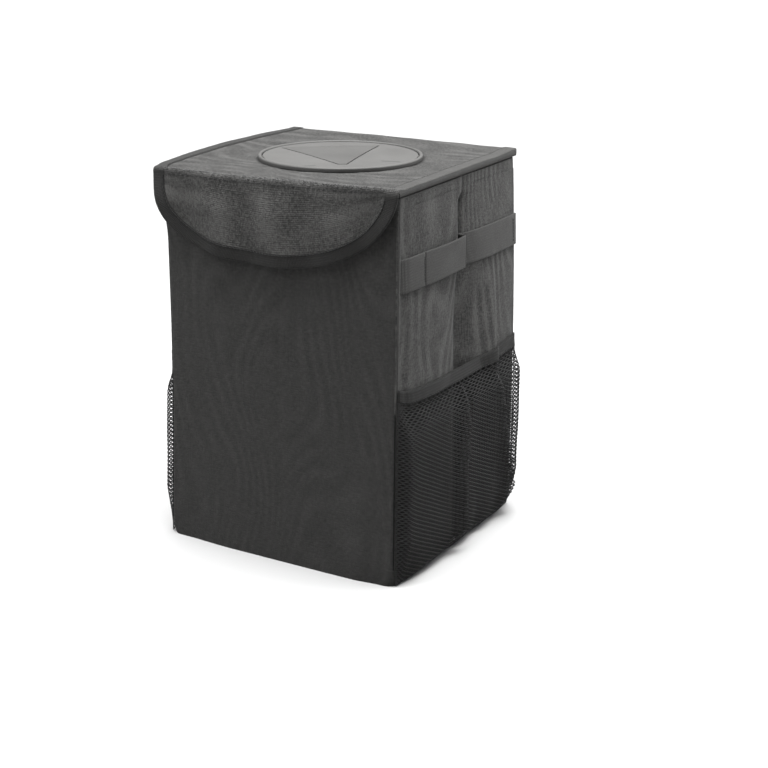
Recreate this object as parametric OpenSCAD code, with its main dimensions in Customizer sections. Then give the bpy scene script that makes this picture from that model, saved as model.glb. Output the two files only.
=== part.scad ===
// Soft trash bin for a car: cloth walls over stiff boards, a creased gusset on each side
// with a webbing loop and a gathered net pocket, a lid with a push-in rubber port, a
// hanging front flap, and a strap with a side-release buckle across the back.
// The front faces -Y and the bin stands on z = 0.

/* [Bin] */
// Width over the side cloth at the corners
body_w = 199; // [185:1:215]
// Depth over the front and back cloth
body_d = 188; // [176:1:204]
// Height of the cloth walls above the floor
wall_h = 286.4; // [270:1:310]
// Radius of the four upright corners
corner_r = 8; // [6:0.5:10]
// Thickness of the outer cloth
cloth_t = 1; // [0.8:0.1:1.2]
// Thickness of the stiff boards in the walls and the base
board_t = 2; // [1.6:0.1:2.4]
// Thickness of the leak-proof liner
liner_t = 0.6; // [0.4:0.1:0.8]
// Thickness of one ply of binding tape
tape_t = 0.4; // [0.3:0.05:0.5]
// Width of binding tape seen on a face
tape_w = 10; // [8:0.5:12]
// Height of the tape round the mouth
rim_tape_h = 8; // [6:0.5:10]

/* [Side gussets] */
// How deep the middle crease is pinched in at the rim
crease_deep = 3.5; // [2.5:0.25:4.5]
// Share of that depth left at the floor
crease_low = 0.4; // [0.2:0.05:0.7]
// Distance of the crease behind the middle of the side
crease_y = 5; // [-4:1:12]
// Distance over which the crease fades out
crease_soft = 12; // [9:1:14]
// How far the cloth swells out on both sides of the crease
puff = 2; // [0.5:0.25:2.5]

/* [Side bands] */
// Distance of the webbing band's lower edge below the top of the walls
band_drop = 66.9; // [56:1:92]
// Width of the webbing band
band_h = 24.5; // [20:0.5:28]
// Thickness of the webbing
band_t = 1.4; // [1:0.1:1.8]
// Front end of the loop
loop_front = -55; // [-62:1:-45]
// Back end of the loop, where the band is pleated
loop_back = 12; // [8:1:22]
// Room inside the loop, from the flat side outwards
loop_out = 5.5; // [5.5:0.25:7]

/* [Net pockets] */
// Height of the pocket mouth above the floor
pocket_h = 144; // [125:1:160]
// Extra height of the mouth at the front seam
pocket_rise = 7; // [0:0.5:10]
// Height of the elastic hem
hem_h = 15; // [12:0.5:18]
// Thickness of the hem
hem_t = 2; // [1.6:0.1:2.4]
// Thickness of the net
net_t = 1; // [0.8:0.1:1.2]
// How far the net stands out from the side
net_out = 8; // [7.5:0.25:10]
// Share of that at the mouth
mouth_share = 0.8; // [0.76:0.02:0.9]
// Distance of the pocket's back seam from the back of the bin
pocket_back = 2.5; // [2:0.5:5]
// Distance over which the net turns outwards at its two upright seams
net_turn = 6; // [4:0.5:9]
// Depth of the gathers along the lower seam
gather = 1.4; // [0:0.1:2]
// Number of gathers
gathers = 5; // [3:1:7]
// Openings in a row of the net
gap_cols = 15; // [9:1:15]
// Rows of openings in the net
gap_rows = 8; // [5:1:8]

/* [Lid] */
// Width over the side tapes
lid_w = 202; // [200:1:218]
// Thickness of the stiff board in the lid
lid_board_t = 2.2; // [1.8:0.1:2.6]
// Gap between the rim and the lid
lid_gap = 0.8; // [0.5:0.1:0.9]
// Radius of the lid's corners
lid_corner_r = 3; // [2:0.5:5]

/* [Rubber port] */
// Outer radius of the round port
port_r = 61.5; // [60:0.5:68]
// Width of the raised bead round it
bead_w = 2.5; // [2:0.25:4]
// Height of the bead above the lid
bead_h = 3.2; // [2.6:0.1:3.6]
// Width of the groove inside the bead
groove_w = 1; // [0.8:0.1:2]
// Thickness of the rubber skin
skin_t = 2; // [1.6:0.1:2.2]
// Height of the skin's edge above the lid
skin_z = 2.2; // [2.2:0.1:2.5]
// Rise of the skin from its edge to its middle
dome = 0.8; // [0:0.1:1]
// Thickness of the neck that goes down through the lid
neck_t = 2; // [1.5:0.1:2.5]
// Width of the V slit
slit_w = 1.2; // [0.8:0.1:1.6]
// Length of the tongue inside the V slit
tongue_l = 77.5; // [70:0.5:80]
// Angle between the two arms of the V
tongue_angle = 48; // [44:1:50]
// Width of the tongue's blunt tip
tongue_tip = 6; // [4:0.5:8]
// Distance of the tip from the middle of the port
tongue_reach = 42.5; // [40:0.5:44]
// Shift of the tongue to the side, off the middle of the port
tongue_side = -3.5; // [-4:0.5:4]
// Turn of the V round the middle of the port
port_turn = 37; // [0:1:60]

/* [Front flap] */
// How far the flap hangs down from the lid's top
flap_drop = 62.4; // [54:0.5:72]
// Thickness of the flap's cloth
flap_t = 1.4; // [1.2:0.1:1.8]
// Squareness of the left half of the flap's curve, where 2 is an ellipse
flap_square_left = 2.7; // [2.2:0.1:3]
// Squareness of its right half
flap_square_right = 2; // [1.8:0.1:3]
// Width of the hook-and-loop patches
patch_w = 70; // [50:1:90]
// Height of the hook-and-loop patches
patch_h = 16; // [12:1:18]
// Thickness of each patch
patch_t = 0.95; // [0.8:0.05:1.1]
// Height of the patches above the flap's lowest point
patch_up = 13; // [12:0.5:16]

/* [Back strap] */
// Width of the strap
strap_w = 25; // [22:0.5:26]
// Thickness of the strap
strap_t = 1.5; // [1.2:0.1:1.6]
// Distance of the strap's middle below the top of the walls
strap_drop = 54.4; // [36:1:136]
// Distance of the strap's sewn ends from the sides
strap_in = 13.5; // [11.5:1:27]
// Length of the stretch that is sewn down
sewn_l = 24; // [16:1:26]
// Thickness of the buckle
buckle_t = 8; // [8:0.25:9.5]
// Height of the buckle
buckle_h = 34; // [33:0.5:38]
// Depth of the buckle's socket
socket_l = 23; // [20:0.5:26]
// Wall of the buckle's socket
socket_wall = 2; // [1.6:0.1:2.4]
// Width of each prong of the plug
prong_w = 4.5; // [3.5:0.25:5]

/* [Hidden] */
$fn = 48;

// Clearance between pieces that move past each other, and under a sewn-on soft piece
fit = 0.3;
// Clearance between the liner and the side cloth
liner_fit = 0.1;
// How far a cutting shape reaches past what it cuts
past = 1;
// Gap between the base board's edge and the cloth round it
board_play = 0.5;
// How far a wall board stops short of the round corners
board_in = 3.5;
// Room in front of the lid's board for the fold of its cloth
fold_room = 3;
wall_x = body_w / 2;
wall_y = body_d / 2;
// Seams between the side cloth and the front and back cloth
seam_y = wall_y - corner_r;
base_top = cloth_t + board_t;
rim_z = wall_h + tape_t;
rim_tape_z = wall_h - rim_tape_h;
band_z = wall_h - band_drop;
strap_z = wall_h - strap_drop;
// Length of each strap half from the middle of the back
strap_half = wall_x - strap_in;
liner_x = cloth_t + liner_fit;
liner_y = cloth_t + board_t;

lid_z = rim_z + lid_gap + tape_t;
lid_lining_t = 0.7;
lid_cover_t = 0.8;
lid_top = lid_z + lid_lining_t + lid_board_t + lid_cover_t;
flap_in_y = -(wall_y + 2 * patch_t + fit);
lid_front_y = flap_in_y + fit;
lid_back_y = wall_y + fit;

// How far the skin laps over the neck, and the depth of the groove round it
skin_lap = 1.2;
groove_deep = 1.2;
neck_r = port_r - bead_w - groove_w - skin_lap;
hinge_y = tongue_l - tongue_reach;

cloth_grey = "#464644";
side_grey = "#565654";
tape_grey = "#383838";
net_grey = "#2a2a28";
rubber_grey = "#a3a39e";
board_grey = "#1f1f1f";
plastic_black = "#161616";

// Points of an elliptic arc
function arc(c, rx, ry, from, to, steps = 6) =
    [for (i = [0:steps]) let (a = from + (to - from) * i / steps) c + [rx * cos(a), ry * sin(a)]];

// Depth of the pinched crease at a place along the side
function crease(y) = crease_deep * exp(-abs(y - crease_y) / crease_soft);

// Share of the crease at a height: crease_low at the floor, all of it under the rim tape
function crease_share(z) =
    crease_low + (1 - crease_low) * min(1, (z - cloth_t) / (rim_tape_z - cloth_t));

// Places along the side, from seam to seam, with one on the crease
half_steps = 12;
side_ys = concat(
    [for (i = [0:half_steps]) -seam_y + (crease_y + seam_y) * i / half_steps],
    [for (i = [1:half_steps]) crease_y + (seam_y - crease_y) * i / half_steps]);

// Plan outline of the walls, set in from the outer cloth, with a share of the crease
function wall_loop(in_x, in_y, share) =
    let (
        cx = wall_x - corner_r,
        rx = corner_r - in_x,
        ry = corner_r - in_y,
        side = [for (i = [1:len(side_ys) - 2]) [wall_x - in_x - share * crease(side_ys[i]), side_ys[i]]]
    )
    concat(
        arc([cx, -seam_y], rx, ry, -90, 0),
        side,
        arc([cx, seam_y], rx, ry, 0, 90),
        arc([-cx, seam_y], rx, ry, 90, 180),
        [for (i = [len(side) - 1:-1:0]) [-side[i][0], side[i][1]]],
        arc([-cx, -seam_y], rx, ry, 180, 270));

// How far the side cloth swells out: one pillow in front of the crease and one behind it
function swell(y, z) =
    let (
        along = y < crease_y ? (y + seam_y) / (crease_y + seam_y) : (y - crease_y) / (seam_y - crease_y),
        up = (z - cloth_t) / (rim_tape_z - cloth_t)
    )
    up >= 1 ? 0 : puff * sin(180 * along) * sin(180 * up);

// Outer face of the side cloth
function gusset_x(y, z) = wall_x - crease(y) * crease_share(z) + swell(y, z);

// A closed sheet between two grids of points, with cells left out where gap(i, j) is true.
// The first index runs along +Y and the second along +Z, with the outer face towards +X.
module sheet(outer, inner, gap = function (i, j) false) {
    ni = len(outer) - 1;
    nj = len(outer[0]) - 1;
    points = [for (i = [0:ni]) for (j = [0:nj]) for (p = [outer[i][j], inner[i][j]]) p];
    function o(i, j) = (i * (nj + 1) + j) * 2;
    function q(i, j) = o(i, j) + 1;
    function open(i, j) = i < 0 || j < 0 || i >= ni || j >= nj || gap(i, j);
    function halves(a, b, c, d) = [[a, b, c], [a, c, d]];
    faces = [for (i = [0:ni - 1]) for (j = [0:nj - 1]) if (!gap(i, j)) each concat(
        halves(o(i, j), o(i, j + 1), o(i + 1, j + 1), o(i + 1, j)),
        halves(q(i, j), q(i + 1, j), q(i + 1, j + 1), q(i, j + 1)),
        open(i, j - 1) ? halves(o(i, j), o(i + 1, j), q(i + 1, j), q(i, j)) : [],
        open(i, j + 1) ? halves(o(i + 1, j + 1), o(i, j + 1), q(i, j + 1), q(i + 1, j + 1)) : [],
        open(i - 1, j) ? halves(o(i, j + 1), o(i, j), q(i, j), q(i, j + 1)) : [],
        open(i + 1, j) ? halves(o(i + 1, j), o(i + 1, j + 1), q(i + 1, j + 1), q(i + 1, j)) : [])];
    polyhedron(points = points, faces = faces, convexity = 8);
}

// Outline of a ribbon of even thickness along an open path
function ribbon(path, t) =
    let (
        n = len(path) - 1,
        along = [for (i = [0:n])
            let (a = path[max(0, i - 1)], b = path[i], c = path[min(n, i + 1)],
                u = b == a ? c - b : b - a, v = c == b ? b - a : c - b)
            [u / norm(u), v / norm(v)]],
        // Mitred normal: half the thickness, longer where the path turns
        side = [for (d = along)
            let (m = d[0] + d[1], k = t / (1 + d[0] * d[1])) k / 2 * [-m[1], m[0]]]
    )
    concat([for (i = [0:n]) path[i] + side[i]], [for (i = [n:-1:0]) path[i] - side[i]]);

// A flat piece that stands up: drawn in x and z, thick from y outwards to the front
module upright(y, t) translate([0, y, 0]) rotate([90, 0, 0]) linear_extrude(t) children();

// A rectangle with round corners, from its low corner to its high one
module round_rect(low, high, r) {
    polygon(concat(
        arc([high[0] - r, low[1] + r], r, r, -90, 0),
        arc([high[0] - r, high[1] - r], r, r, 0, 90),
        arc([low[0] + r, high[1] - r], r, r, 90, 180),
        arc([low[0] + r, low[1] + r], r, r, 180, 270)));
}

module on_left() mirror([1, 0, 0]) children();
module on_back() mirror([0, 1, 0]) children();

// Outer cloth

module wall_cloth() {
    translate([0, 0, cloth_t])
        linear_extrude(wall_h - cloth_t)
            intersection() {
                difference() {
                    polygon(wall_loop(0, 0, 1));
                    polygon(wall_loop(cloth_t, cloth_t, 1));
                }
                translate([-wall_x, -wall_y]) square([body_w, corner_r]);
            }
}

module front_panel() color(cloth_grey) wall_cloth();
module back_panel() color(cloth_grey) on_back() wall_cloth();

module gusset() {
    steps = 10;
    zs = concat([for (j = [0:steps]) cloth_t + (rim_tape_z - cloth_t) * j / steps], [wall_h]);
    outer = [for (y = side_ys) [for (z = zs) [gusset_x(y, z), y, z]]];
    inner = [for (y = side_ys) [for (z = zs) [gusset_x(y, z) - cloth_t, y, z]]];
    sheet(outer, inner);
}

module right_side_panel() color(side_grey) gusset();
module left_side_panel() color(side_grey) on_left() gusset();

module base_panel() color(cloth_grey) linear_extrude(cloth_t) polygon(wall_loop(0, 0, crease_low));

// Stiff boards and liner

module wall_board() {
    half = wall_x - corner_r - board_in;
    upright(-(wall_y - cloth_t - board_t), board_t)
        round_rect([-half, cloth_t], [half, wall_h - rim_tape_h / 2], corner_r / 2);
}

module front_board() color(board_grey) wall_board();
module back_board() color(board_grey) on_back() wall_board();

module base_board() {
    half_x = wall_x - cloth_t - crease_deep - board_play;
    half_y = wall_y - cloth_t - board_t;
    color(board_grey)
        translate([0, 0, cloth_t])
            linear_extrude(board_t)
                round_rect([-half_x, -half_y], [half_x, half_y], corner_r / 2);
}

module liner() {
    color("#5c5c5c")
        difference() {
            translate([0, 0, base_top])
                linear_extrude(wall_h - base_top) polygon(wall_loop(liner_x, liner_y, 1));
            translate([0, 0, base_top + liner_t])
                linear_extrude(wall_h) polygon(wall_loop(liner_x + liner_t, liner_y + liner_t, 1));
        }
}

// Tape turned inwards over the mouth, from the outer cloth down the inside of the liner
module rim_binding() {
    in_x = liner_x + liner_t;
    in_y = liner_y + liner_t;
    color(tape_grey)
        translate([0, 0, rim_tape_z])
            difference() {
                linear_extrude(rim_tape_h + tape_t)
                    difference() {
                        polygon(wall_loop(0, 0, 1));
                        polygon(wall_loop(in_x + tape_t, in_y + tape_t, 1));
                    }
                translate([0, 0, -past])
                    linear_extrude(rim_tape_h + past)
                        difference() {
                            polygon(wall_loop(-past, -past, 1));
                            polygon(wall_loop(in_x, in_y, 1));
                        }
            }
}

// Webbing bands on the sides

// Middle of the band where it lies on the cloth
function band_flat(y) = [gusset_x(y, band_z) + fit + band_t / 2, y];

module band() {
    loop_x = wall_x + loop_out + band_t / 2;
    rise = 6;
    pleat = 0.8;
    path = concat(
        [for (y = side_ys) if (y < loop_front - pleat) band_flat(y)],
        [band_flat(loop_front), [loop_x, loop_front + rise], [loop_x, loop_back - pleat]],
        [band_flat(loop_back + pleat)],
        [for (y = side_ys) if (y > loop_back + rise / 2) band_flat(y)]);
    translate([0, 0, band_z])
        linear_extrude(band_h)
            intersection() {
                polygon(ribbon(path, band_t));
                translate([0, -seam_y]) square([body_w, 2 * seam_y]);
            }
}

module right_band() color(side_grey) band();
module left_band() color(side_grey) on_left() band();

// Net pockets

// Cells across the turn at each upright seam, with no openings in them
turn_cells = 3;
net_steps = 2 * gap_cols - 1 + 2 * turn_cells;
net_rows = 2 * gap_rows + 1;
net_z = 2 * cloth_t;
net_back_y = wall_y - pocket_back;
// Share of its height that the hem loses at the front seam
hem_pinch = 0.35;
// Distances over which the mouth's rise and that pinch fade out
rise_soft = 6;
pinch_soft = 12;

// Place along the side and share of the bulge: a quarter turn at each seam, level between
function net_plan(i) =
    let (
        near = min(i, net_steps - i),
        a = 90 * min(1, near / turn_cells),
        turned = net_turn * (1 - cos(a)),
        level = (net_back_y + seam_y - 2 * net_turn) / (net_steps - 2 * turn_cells),
        along = turned + level * max(0, near - turn_cells)
    )
    [i == near ? -seam_y + along : net_back_y - along, sin(a)];

// The mouth and the hem rise and narrow towards the front seam
function mouth_z(y) = pocket_h + pocket_rise * exp(-(y + seam_y) / rise_soft);
function hem_z(y) = mouth_z(y) - hem_h * (1 - hem_pinch * exp(-(y + seam_y) / pinch_soft));

// Flat side, then the round back corner
function cloth_x(y) =
    y > seam_y ? wall_x - corner_r + sqrt(pow(corner_r, 2) - pow(y - seam_y, 2)) : wall_x;

// Share of the full bulge from the floor seam (s = 0) to the hem (s = 1)
belly = 0.1;
function bulge_up(s) =
    s < belly ? sin(90 * s / belly) : 1 - (1 - mouth_share) * (1 - cos(180 * (s - belly) / (1 - belly))) / 2;

// Soft folds in the net: how far they stand out, their reach, and each one's place at the
// hem and at the floor
fold_deep = 1.4;
fold_soft = 7;
fold_places = [[crease_y + 3, crease_y - 13], [seam_y - 34, seam_y - 8]];

// A fold that slants from one place at the hem to another at the floor
function net_fold(y, s, top_y, low_y) =
    fold_deep * exp(-pow((y - low_y - (top_y - low_y) * s) / fold_soft, 2)) * sin(180 * min(1, s + 0.1));

// Inner face of the net, gathered along the floor seam
function net_x(i, s) =
    let (
        at = net_plan(i),
        waves = gather * (1 + sin(360 * gathers * i / net_steps)) / 2 * (1 - s),
        folds = net_fold(at[0], s, fold_places[0][0], fold_places[0][1])
            + net_fold(at[0], s, fold_places[1][0], fold_places[1][1])
    )
    cloth_x(at[0]) + fit + at[1] * (net_out * bulge_up(s) + waves + folds);

module net() {
    function at(i, j, out) = let (s = j / net_rows, y = net_plan(i)[0])
        [net_x(i, s) + out, y, net_z + (hem_z(y) - net_z) * s];
    outer = [for (i = [0:net_steps]) [for (j = [0:net_rows]) at(i, j, net_t)]];
    inner = [for (i = [0:net_steps]) [for (j = [0:net_rows]) at(i, j, 0)]];
    // Every second row of openings is shifted by one cell, as in a knotted net
    gap = function (i, j)
        let (shift = (j + 1) / 2 % 2, k = i - turn_cells)
        j % 2 == 1 && k >= 0 && k < 2 * gap_cols - 1 && k % 2 == shift;
    sheet(outer, inner, gap);
}

module hem() {
    function at(i, up, out) =
        let (y = net_plan(i)[0], z = hem_z(y)) [net_x(i, 1) + out, y, z + (mouth_z(y) - z) * up];
    outer = [for (i = [0:net_steps]) [for (up = [0, 0.5, 1]) at(i, up, hem_t)]];
    inner = [for (i = [0:net_steps]) [for (up = [0, 0.5, 1]) at(i, up, 0)]];
    sheet(outer, inner);
}

module right_mesh_pocket() color(net_grey) net();
module left_mesh_pocket() color(net_grey) on_left() net();
module right_pocket_hem() color(tape_grey) hem();
module left_pocket_hem() color(tape_grey) on_left() hem();

// Lid

module lid_layer(z, t, room = 0) {
    half = lid_w / 2 - tape_t;
    translate([0, 0, z])
        linear_extrude(t)
            difference() {
                round_rect([-half, lid_front_y + room], [half, lid_back_y], lid_corner_r);
                circle(r = neck_r + fit / 2);
            }
}

module lid_lining() color("#3c3c3c") lid_layer(lid_z, lid_lining_t);
module lid_board() color(board_grey) lid_layer(lid_z + lid_lining_t, lid_board_t, fold_room);
module lid_cover() color("#6a6a67") lid_layer(lid_top - lid_cover_t, lid_cover_t);

// Tape folded over each side edge of the lid
module lid_binding() {
    half = lid_w / 2 - tape_t;
    stack = lid_top - lid_z;
    color(tape_grey)
        difference() {
            translate([0, 0, lid_z - tape_t])
                linear_extrude(stack + 2 * tape_t)
                    difference() {
                        round_rect([-lid_w / 2, lid_front_y], [lid_w / 2, lid_back_y], lid_corner_r);
                        translate([-(lid_w / 2 - tape_w), lid_front_y - past])
                            square([lid_w - 2 * tape_w, lid_back_y - lid_front_y + 2 * past]);
                    }
            translate([0, 0, lid_z])
                linear_extrude(stack)
                    round_rect([-half, lid_front_y], [half, lid_back_y], lid_corner_r);
        }
}

// Rubber port

skin_r = neck_r + skin_lap;
// Upper face of the domed skin, above the lid
function skin_top(r) = skin_z + dome * (1 - pow(r / skin_r, 2));

// Half section of the port: skin, groove, round bead and the neck through the lid
module port_section() {
    steps = 6;
    rs = [for (i = [0:steps]) skin_r * i / steps];
    under = [for (i = [0:steps]) (neck_r - neck_t) * (1 - i / steps)];
    bead_c = [port_r - bead_w / 2, bead_h - bead_w / 2];
    polygon(concat(
        [for (r = rs) [r, skin_top(r)]],
        [[skin_r, skin_z - groove_deep], [skin_r + groove_w, skin_z - groove_deep]],
        arc(bead_c, bead_w / 2, bead_w / 2, 180, 0, 10),
        [[port_r, 0], [neck_r, 0], [neck_r, lid_z - lid_top], [neck_r - neck_t, lid_z - lid_top]],
        [for (r = under) [r, skin_top(r) - skin_t]]));
}

module port_body() {
    translate([0, 0, lid_top]) rotate([0, 0, port_turn]) rotate_extrude($fn = 96) port_section();
}

// Plan of the tongue, grown on its free edges, with its hinge edge moved by back
module tongue_plan(grow, back) {
    half = tongue_angle / 2;
    tip = tongue_tip / 2 + grow * (1 - sin(half)) / cos(half);
    root = tongue_tip / 2 + tongue_l * tan(half) + grow / cos(half);
    translate([tongue_side, 0])
        polygon([[-tip, -tongue_reach - grow], [tip, -tongue_reach - grow],
            [root, hinge_y + back], [-root, hinge_y + back]]);
}

module tongue_block(grow, back) {
    translate([0, 0, lid_top - skin_t])
        rotate([0, 0, port_turn])
            linear_extrude(skin_z + dome + 2 * skin_t) tongue_plan(grow, back);
}

module port() {
    color(rubber_grey)
        difference() {
            port_body();
            tongue_block(slit_w / 2, fit);
        }
}

module push_flap() {
    color("#8f8f8b")
        intersection() {
            port_body();
            tongue_block(-slit_w / 2, 0);
        }
}

// Front flap

// Lower half of a squared ellipse under the lid's top edge
function flap_curve(inset) =
    let (a = lid_w / 2 - inset, b = flap_drop - inset, steps = 40)
    [for (i = [0:steps])
        let (
            u = 180 + 180 * i / steps,
            c = cos(u),
            s = -sin(u),
            k = 2 / (c < 0 ? flap_square_left : flap_square_right)
        )
        [a * sign(c) * pow(abs(c), k), lid_top - b * pow(max(0, s), k)]];

// What rounds the flap's upper edge over the fold
module fold_round(t) {
    difference() {
        translate([-lid_w, flap_in_y - 2 * t, lid_top - t]) cube([2 * lid_w, 2 * t, 2 * t]);
        translate([-2 * lid_w, flap_in_y, lid_top - t]) rotate([0, 90, 0]) cylinder(r = t, h = 4 * lid_w);
    }
}

module front_flap() {
    color(cloth_grey)
        difference() {
            upright(flap_in_y, flap_t) polygon(flap_curve(tape_t));
            fold_round(flap_t);
        }
}

// Tape folded over the curved edge, cut back behind the fold so that the flap can lift
module flap_binding() {
    color(tape_grey)
        difference() {
            upright(flap_in_y + tape_t, flap_t + 2 * tape_t)
                difference() {
                    polygon(flap_curve(0));
                    polygon(concat(flap_curve(tape_w),
                        [[lid_w / 2 - tape_w, lid_top + past], [tape_w - lid_w / 2, lid_top + past]]));
                }
            upright(flap_in_y, flap_t) polygon(flap_curve(tape_t));
            translate([-lid_w, flap_in_y, lid_z - 2 * tape_t]) cube([2 * lid_w, lid_w, lid_w]);
            fold_round(flap_t + tape_t);
        }
}

patch_r = 2;

module patch(y) {
    low = lid_top - flap_drop + patch_up;
    upright(y, patch_t) round_rect([-patch_w / 2, low], [patch_w / 2, low + patch_h], patch_r);
}

module loop_patch() color(tape_grey) patch(-wall_y);
module hook_patch() color(plastic_black) patch(flap_in_y + patch_t);

// Back strap and buckle, drawn in x and distance behind the back cloth

bar_t = 3;
slot_w = 4;
gap_x = 0.5;
strap_play = 0.2;
// Outer face of the bar that a strap half is folded round, from the buckle's split
socket_bar = socket_l + socket_wall + slot_w + bar_t;
plug_body = 9;
plug_bar = plug_body + slot_w + bar_t;
buckle_low = 1;
buckle_r = 3;
// Windows in the socket's edges where the prongs are squeezed: where they start, and the
// wall left beside them
window_from = 8;
window_wall = 3;
// How far the prongs and the guide between them stop short of the socket's end
prong_short = 2;
guide_short = 6;
// Length of the strap's fold back over a bar, and of its tail that is sewn down
fold_l = 14;
tail_l = 6;
bar_low = buckle_low + (buckle_t - bar_t) / 2;

// A strap half along +x: sewn down at its far end and folded round a bar at its near end
module strap_plan(bar_x) {
    lower = bar_low - strap_play - strap_t / 2;
    upper = bar_low + bar_t + strap_play + strap_t / 2;
    turn_x = bar_x - bar_t - strap_play - strap_t / 2;
    join_x = bar_x + fold_l;
    polygon(ribbon([[strap_half, strap_t / 2], [strap_half - sewn_l, strap_t / 2],
        [join_x, lower], [turn_x, lower]], strap_t));
    polygon(ribbon([[turn_x, lower - strap_t / 2], [turn_x, upper], [bar_x + past, upper],
        [join_x, lower + strap_t * 0.9], [join_x + tail_l, lower + strap_t / 2]], strap_t));
}

module strap(bar_x) {
    translate([0, wall_y, strap_z - strap_w / 2]) linear_extrude(strap_w) strap_plan(bar_x);
}

module strap_right() color(tape_grey) strap(gap_x + socket_bar);
module strap_left() color(tape_grey) on_left() strap(gap_x + plug_bar);

// A block of the buckle: from x0 to x1, from y0 to y1 behind the cloth, and high about the strap
module block(x0, x1, y0, y1, high) {
    translate([x0, wall_y + y0, strap_z - high / 2]) cube([x1 - x0, y1 - y0, high]);
}

module buckle_outline(x0, x1) {
    translate([0, wall_y + buckle_low + buckle_t, 0])
        rotate([90, 0, 0])
            linear_extrude(buckle_t)
                round_rect([x0, strap_z - buckle_h / 2], [x1, strap_z + buckle_h / 2], buckle_r);
}

inside_h = buckle_h - 2 * socket_wall;
slot_h = strap_w + 4 * strap_play;
room_low = buckle_low + socket_wall;
room_high = buckle_low + buckle_t - socket_wall;

module buckle_socket() {
    end = gap_x + socket_l;
    color(plastic_black)
        difference() {
            buckle_outline(gap_x, gap_x + socket_bar);
            block(gap_x - past, end, room_low, room_high, inside_h);
            block(gap_x + window_from, end - window_wall, room_low, room_high, buckle_h + 2 * past);
            block(end + socket_wall, end + socket_wall + slot_w, 0, 2 * buckle_t, slot_h);
            // The bar is thinner than the frame round the slot
            block(end + socket_wall, gap_x + socket_bar + past, 0, bar_low, slot_h);
            block(end + socket_wall, gap_x + socket_bar + past, bar_low + bar_t, 2 * buckle_t, slot_h);
        }
}

module buckle_plug() {
    reach = socket_l - prong_short;
    prong_z = inside_h / 2 - fit - prong_w;
    color(plastic_black) {
        difference() {
            buckle_outline(-plug_bar - gap_x, gap_x - fit);
            block(-gap_x - plug_body - slot_w, -gap_x - plug_body, 0, 2 * buckle_t, slot_h);
            block(-plug_bar - gap_x - past, -gap_x - plug_body, 0, bar_low, slot_h);
            block(-plug_bar - gap_x - past, -gap_x - plug_body, bar_low + bar_t, 2 * buckle_t, slot_h);
        }
        for (side = [0, 1])
            translate([0, 0, side * 2 * strap_z])
                mirror([0, 0, side])
                    translate([-past, wall_y + room_low + fit, strap_z + prong_z])
                        cube([reach + past, room_high - room_low - 2 * fit, prong_w]);
        block(-past, socket_l - guide_short, room_low + fit, room_high - fit, prong_w);
    }
}

front_panel();
back_panel();
left_side_panel();
right_side_panel();
base_panel();
front_board();
back_board();
base_board();
liner();
rim_binding();
left_band();
right_band();
left_mesh_pocket();
right_mesh_pocket();
left_pocket_hem();
right_pocket_hem();
loop_patch();
strap_right();
buckle_socket();
strap_left();
buckle_plug();
lid_cover();
lid_board();
lid_lining();
lid_binding();
port();
push_flap();
front_flap();
flap_binding();
hook_patch();
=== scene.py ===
"""Looks of a soft trash bin for a car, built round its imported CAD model.

The bin has cloth walls with a pinched crease in each side, a webbing loop and a gathered
net pocket on each side, a lid with a rubber port, a bound front flap that hangs from the
lid's front edge, and a strap with a side-release buckle across the back. Sizes in the
classes are in millimetres; meshes are made in metres, in the CAD model's own frame, with
the front towards -Y and the floor at z = 0.
"""

import logging
import math
from dataclasses import dataclass, field
from enum import Enum
from functools import reduce
from typing import Optional, Sequence

import bpy
import numpy as np
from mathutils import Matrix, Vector


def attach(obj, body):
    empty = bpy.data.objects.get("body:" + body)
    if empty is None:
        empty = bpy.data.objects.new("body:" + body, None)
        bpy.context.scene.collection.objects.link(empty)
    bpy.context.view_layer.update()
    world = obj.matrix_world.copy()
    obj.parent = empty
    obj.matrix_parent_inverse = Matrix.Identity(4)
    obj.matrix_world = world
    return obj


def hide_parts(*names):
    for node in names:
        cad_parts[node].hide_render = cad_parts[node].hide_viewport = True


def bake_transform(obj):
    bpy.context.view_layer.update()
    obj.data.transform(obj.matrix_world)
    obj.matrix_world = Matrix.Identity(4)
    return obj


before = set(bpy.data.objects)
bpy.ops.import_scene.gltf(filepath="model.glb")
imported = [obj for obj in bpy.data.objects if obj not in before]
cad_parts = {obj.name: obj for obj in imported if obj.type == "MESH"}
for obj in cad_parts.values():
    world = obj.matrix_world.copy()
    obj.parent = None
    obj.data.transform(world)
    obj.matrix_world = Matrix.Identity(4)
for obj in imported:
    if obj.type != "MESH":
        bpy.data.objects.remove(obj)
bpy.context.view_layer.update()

log = logging.getLogger("bin")
MM = 0.001
Array = np.ndarray
Socket = bpy.types.NodeSocket
Finish = bpy.types.Material
Piece = bpy.types.Object


class Body(Enum):
    """The moving bodies of the CAD model."""

    BIN = "bin"
    LID = "lid"
    FLAP = "front_flap"
    TONGUE = "push_flap"
    PLUG = "buckle_plug"


class Side(Enum):
    """The two sides of the bin, by the sign of x."""

    LEFT = -1
    RIGHT = 1

    @property
    def word(self) -> str:
        """Name of the side, as the CAD nodes spell it."""
        return self.name.lower()


# Meshes


@dataclass
class Shape:
    """A mesh in the making: points in millimetres, faces and a flat pattern per point."""

    points: Array
    faces: list
    flat: Array

    def joined(self, other: "Shape") -> "Shape":
        """Both shapes as one.

        Args:
            other: the shape to add.

        Returns:
            A shape that holds both.
        """
        shift = len(self.points)
        moved = [f + shift for f in other.faces]
        return Shape(
            np.concatenate([self.points, other.points]), self.faces + moved,
            np.concatenate([self.flat, other.flat])
        )


def held(t: Array) -> Array:
    """A share, held to 0..1."""
    return np.clip(t, 0.0, 1.0)


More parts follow.
